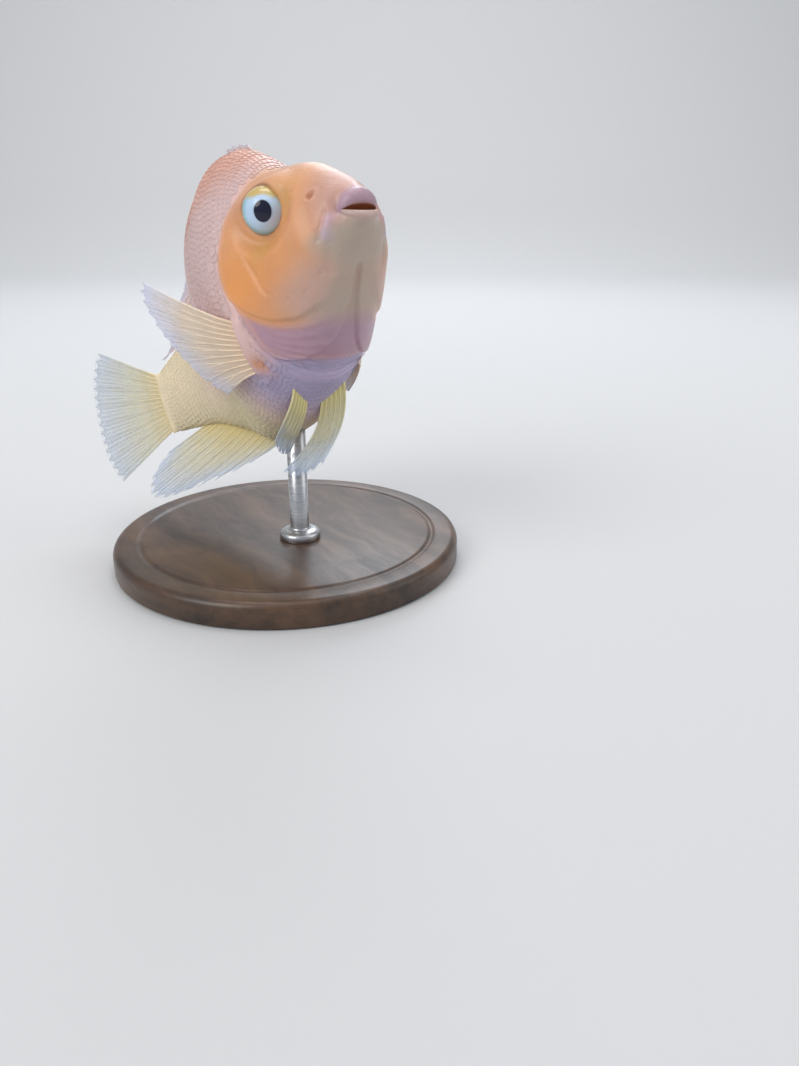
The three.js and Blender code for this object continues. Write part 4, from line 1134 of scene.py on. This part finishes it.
wire(tree, shader, {
    "Base Color": colour_ramp(tree, grain, [(0.34, WOOD_DARK), (0.68, WOOD_LIGHT)]),
    "Roughness": ranged(tree, grain, 0.3, 0.7, 0.48, 0.34),
    "Normal": raised(tree, grain, 0.25, 0.0003),
})
base.data.materials.append(wood)
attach(base, "root")
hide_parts("stand_base")

# Stand rod. Brushed steel, turned with a rounded collar that sits on the base, its upper end let a
# little way into the belly. Only its place along the fish, ROD_BACK, is in millimetres.
ROD_RADIUS, ROD_CORE, COLLAR_RADIUS, COLLAR_TOP, ROD_SIDES = 0.003, 0.001, 0.0065, 0.012, 64
ROD_BACK, ROD_SUNK = 71.0, 0.003
STEEL_DARK, STEEL_LIGHT = (0.42, 0.43, 0.44), (0.66, 0.67, 0.69)
foot_x, foot_y, belly_height = (float(v) for v in place(ROD_BACK, 0, belly_line(ROD_BACK)))
rod_profile = [
    (ROD_CORE, BASE_THICK), (0.0064, BASE_THICK), (COLLAR_RADIUS, 0.0082), (COLLAR_RADIUS, 0.0098),
    (0.0062, 0.0103), (0.0056, 0.0107), (0.0046, 0.0110), (0.0036, 0.0112), (0.0031, 0.0115),
    (ROD_RADIUS, COLLAR_TOP), (ROD_RADIUS, belly_height + ROD_SUNK),
    (ROD_CORE, belly_height + ROD_SUNK + 0.0002),
]
rod = lathe("stand_rod_turned", rod_profile, (foot_x, foot_y), ROD_SIDES)
steel, tree, shader = new_material("brushed_steel", Metallic=1.0)
where = put(tree, "ShaderNodeTexCoord")["Object"]
turned = put(tree, "ShaderNodeMapping", {"Vector": where, "Scale": (60.0, 60.0, 9000.0)})[0]
brush = noise(tree, turned, 1.0, 2.0)[0]
wire(tree, shader, {
    "Base Color": colour_ramp(tree, brush, [(0.3, STEEL_DARK), (0.7, STEEL_LIGHT)]),
    "Roughness": ranged(tree, brush, 0.3, 0.7, 0.24, 0.4),
    "Normal": raised(tree, brush, 0.12, 0.0001),
})
rod.data.materials.append(steel)
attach(rod, "root")
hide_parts("stand_rod")

# Studio. A plain pale paper floor that sweeps up behind the model, the main soft light from the
# fish's right, weaker ones above, ahead on its left and behind, one for the paper, and a pale
# surround.
SWEEP_HALF, SWEEP_FRONT, SWEEP_BACK, SWEEP_BEND, SWEEP_TOP = 3.0, 3.0, 1.6, 0.6, 3.0
FLOOR_BELOW = 0.0002
PAPER, SURROUND, SURROUND_STRENGTH = (0.60, 0.605, 0.61), (0.88, 0.92, 1.0), 0.48
FISH_MIDDLE, PAPER_MIDDLE = (0.0, 0.0, 0.08), (-1.3, 0.95, 0.5)
bend_from = SWEEP_BEND - SWEEP_BACK
bend = [
    (bend_from - SWEEP_BEND * math.sin(a), SWEEP_BEND * (1 - math.cos(a)))
    for a in np.linspace(0, math.pi / 2, 24)[1:]
]
sweep = [(SWEEP_FRONT, 0.0), (bend_from, 0.0), *bend, (-SWEEP_BACK, SWEEP_TOP)]
away = Vector((CAMERA_BACK[0], CAMERA_BACK[1], 0)).normalized()
beside_camera = Vector((-away.y, away.x, 0))
floor_points = [
    tuple(away * x + beside_camera * s + Vector((0, 0, h - FLOOR_BELOW)))
    for x, h in sweep for s in (-SWEEP_HALF, SWEEP_HALF)
]
floor_faces = [(2 * i, 2 * i + 1, 2 * i + 3, 2 * i + 2) for i in range(len(sweep) - 1)]
floor = new_piece("studio_floor", floor_points, floor_faces)
paper, _, _ = new_material("pale_paper", Roughness=0.9, Base_Color=(*PAPER, 1))
floor.data.materials.append(paper)


def soft_light(name, at, aim, size, power, colour):
    data = bpy.data.lights.new(name, "AREA")
    data.shape = "DISK"
    data.size = size
    data.energy = power
    data.color = colour
    aimed(name, data, at, Vector(at) - Vector(aim))


soft_light("side_softbox", (0.1, -1.0, 0.85), FISH_MIDDLE, 0.8, 7.2, (1.0, 0.98, 0.95))
soft_light("overhead_softbox", (0.1, 0.1, 1.4), FISH_MIDDLE, 1.2, 4.0, (1.0, 0.99, 0.97))
soft_light("front_softbox", (0.6, 0.7, 0.55), FISH_MIDDLE, 0.8, 1.8, (1.0, 0.97, 0.94))
soft_light("rim_softbox", (-0.7, 0.55, 0.7), FISH_MIDDLE, 0.5, 2.5, (0.86, 0.92, 1.0))
soft_light("backdrop_softbox", (-0.55, 0.4, 1.7), PAPER_MIDDLE, 1.2, 14.0, (1.0, 1.0, 1.0))
world = bpy.data.worlds.new("studio_surround")
world.use_nodes = True
surround = world.node_tree.nodes["Background"]
surround.inputs["Color"].default_value = (*SURROUND, 1)
surround.inputs["Strength"].default_value = SURROUND_STRENGTH
bpy.context.scene.world = world
bpy.context.scene.view_settings.view_transform = "Standard"
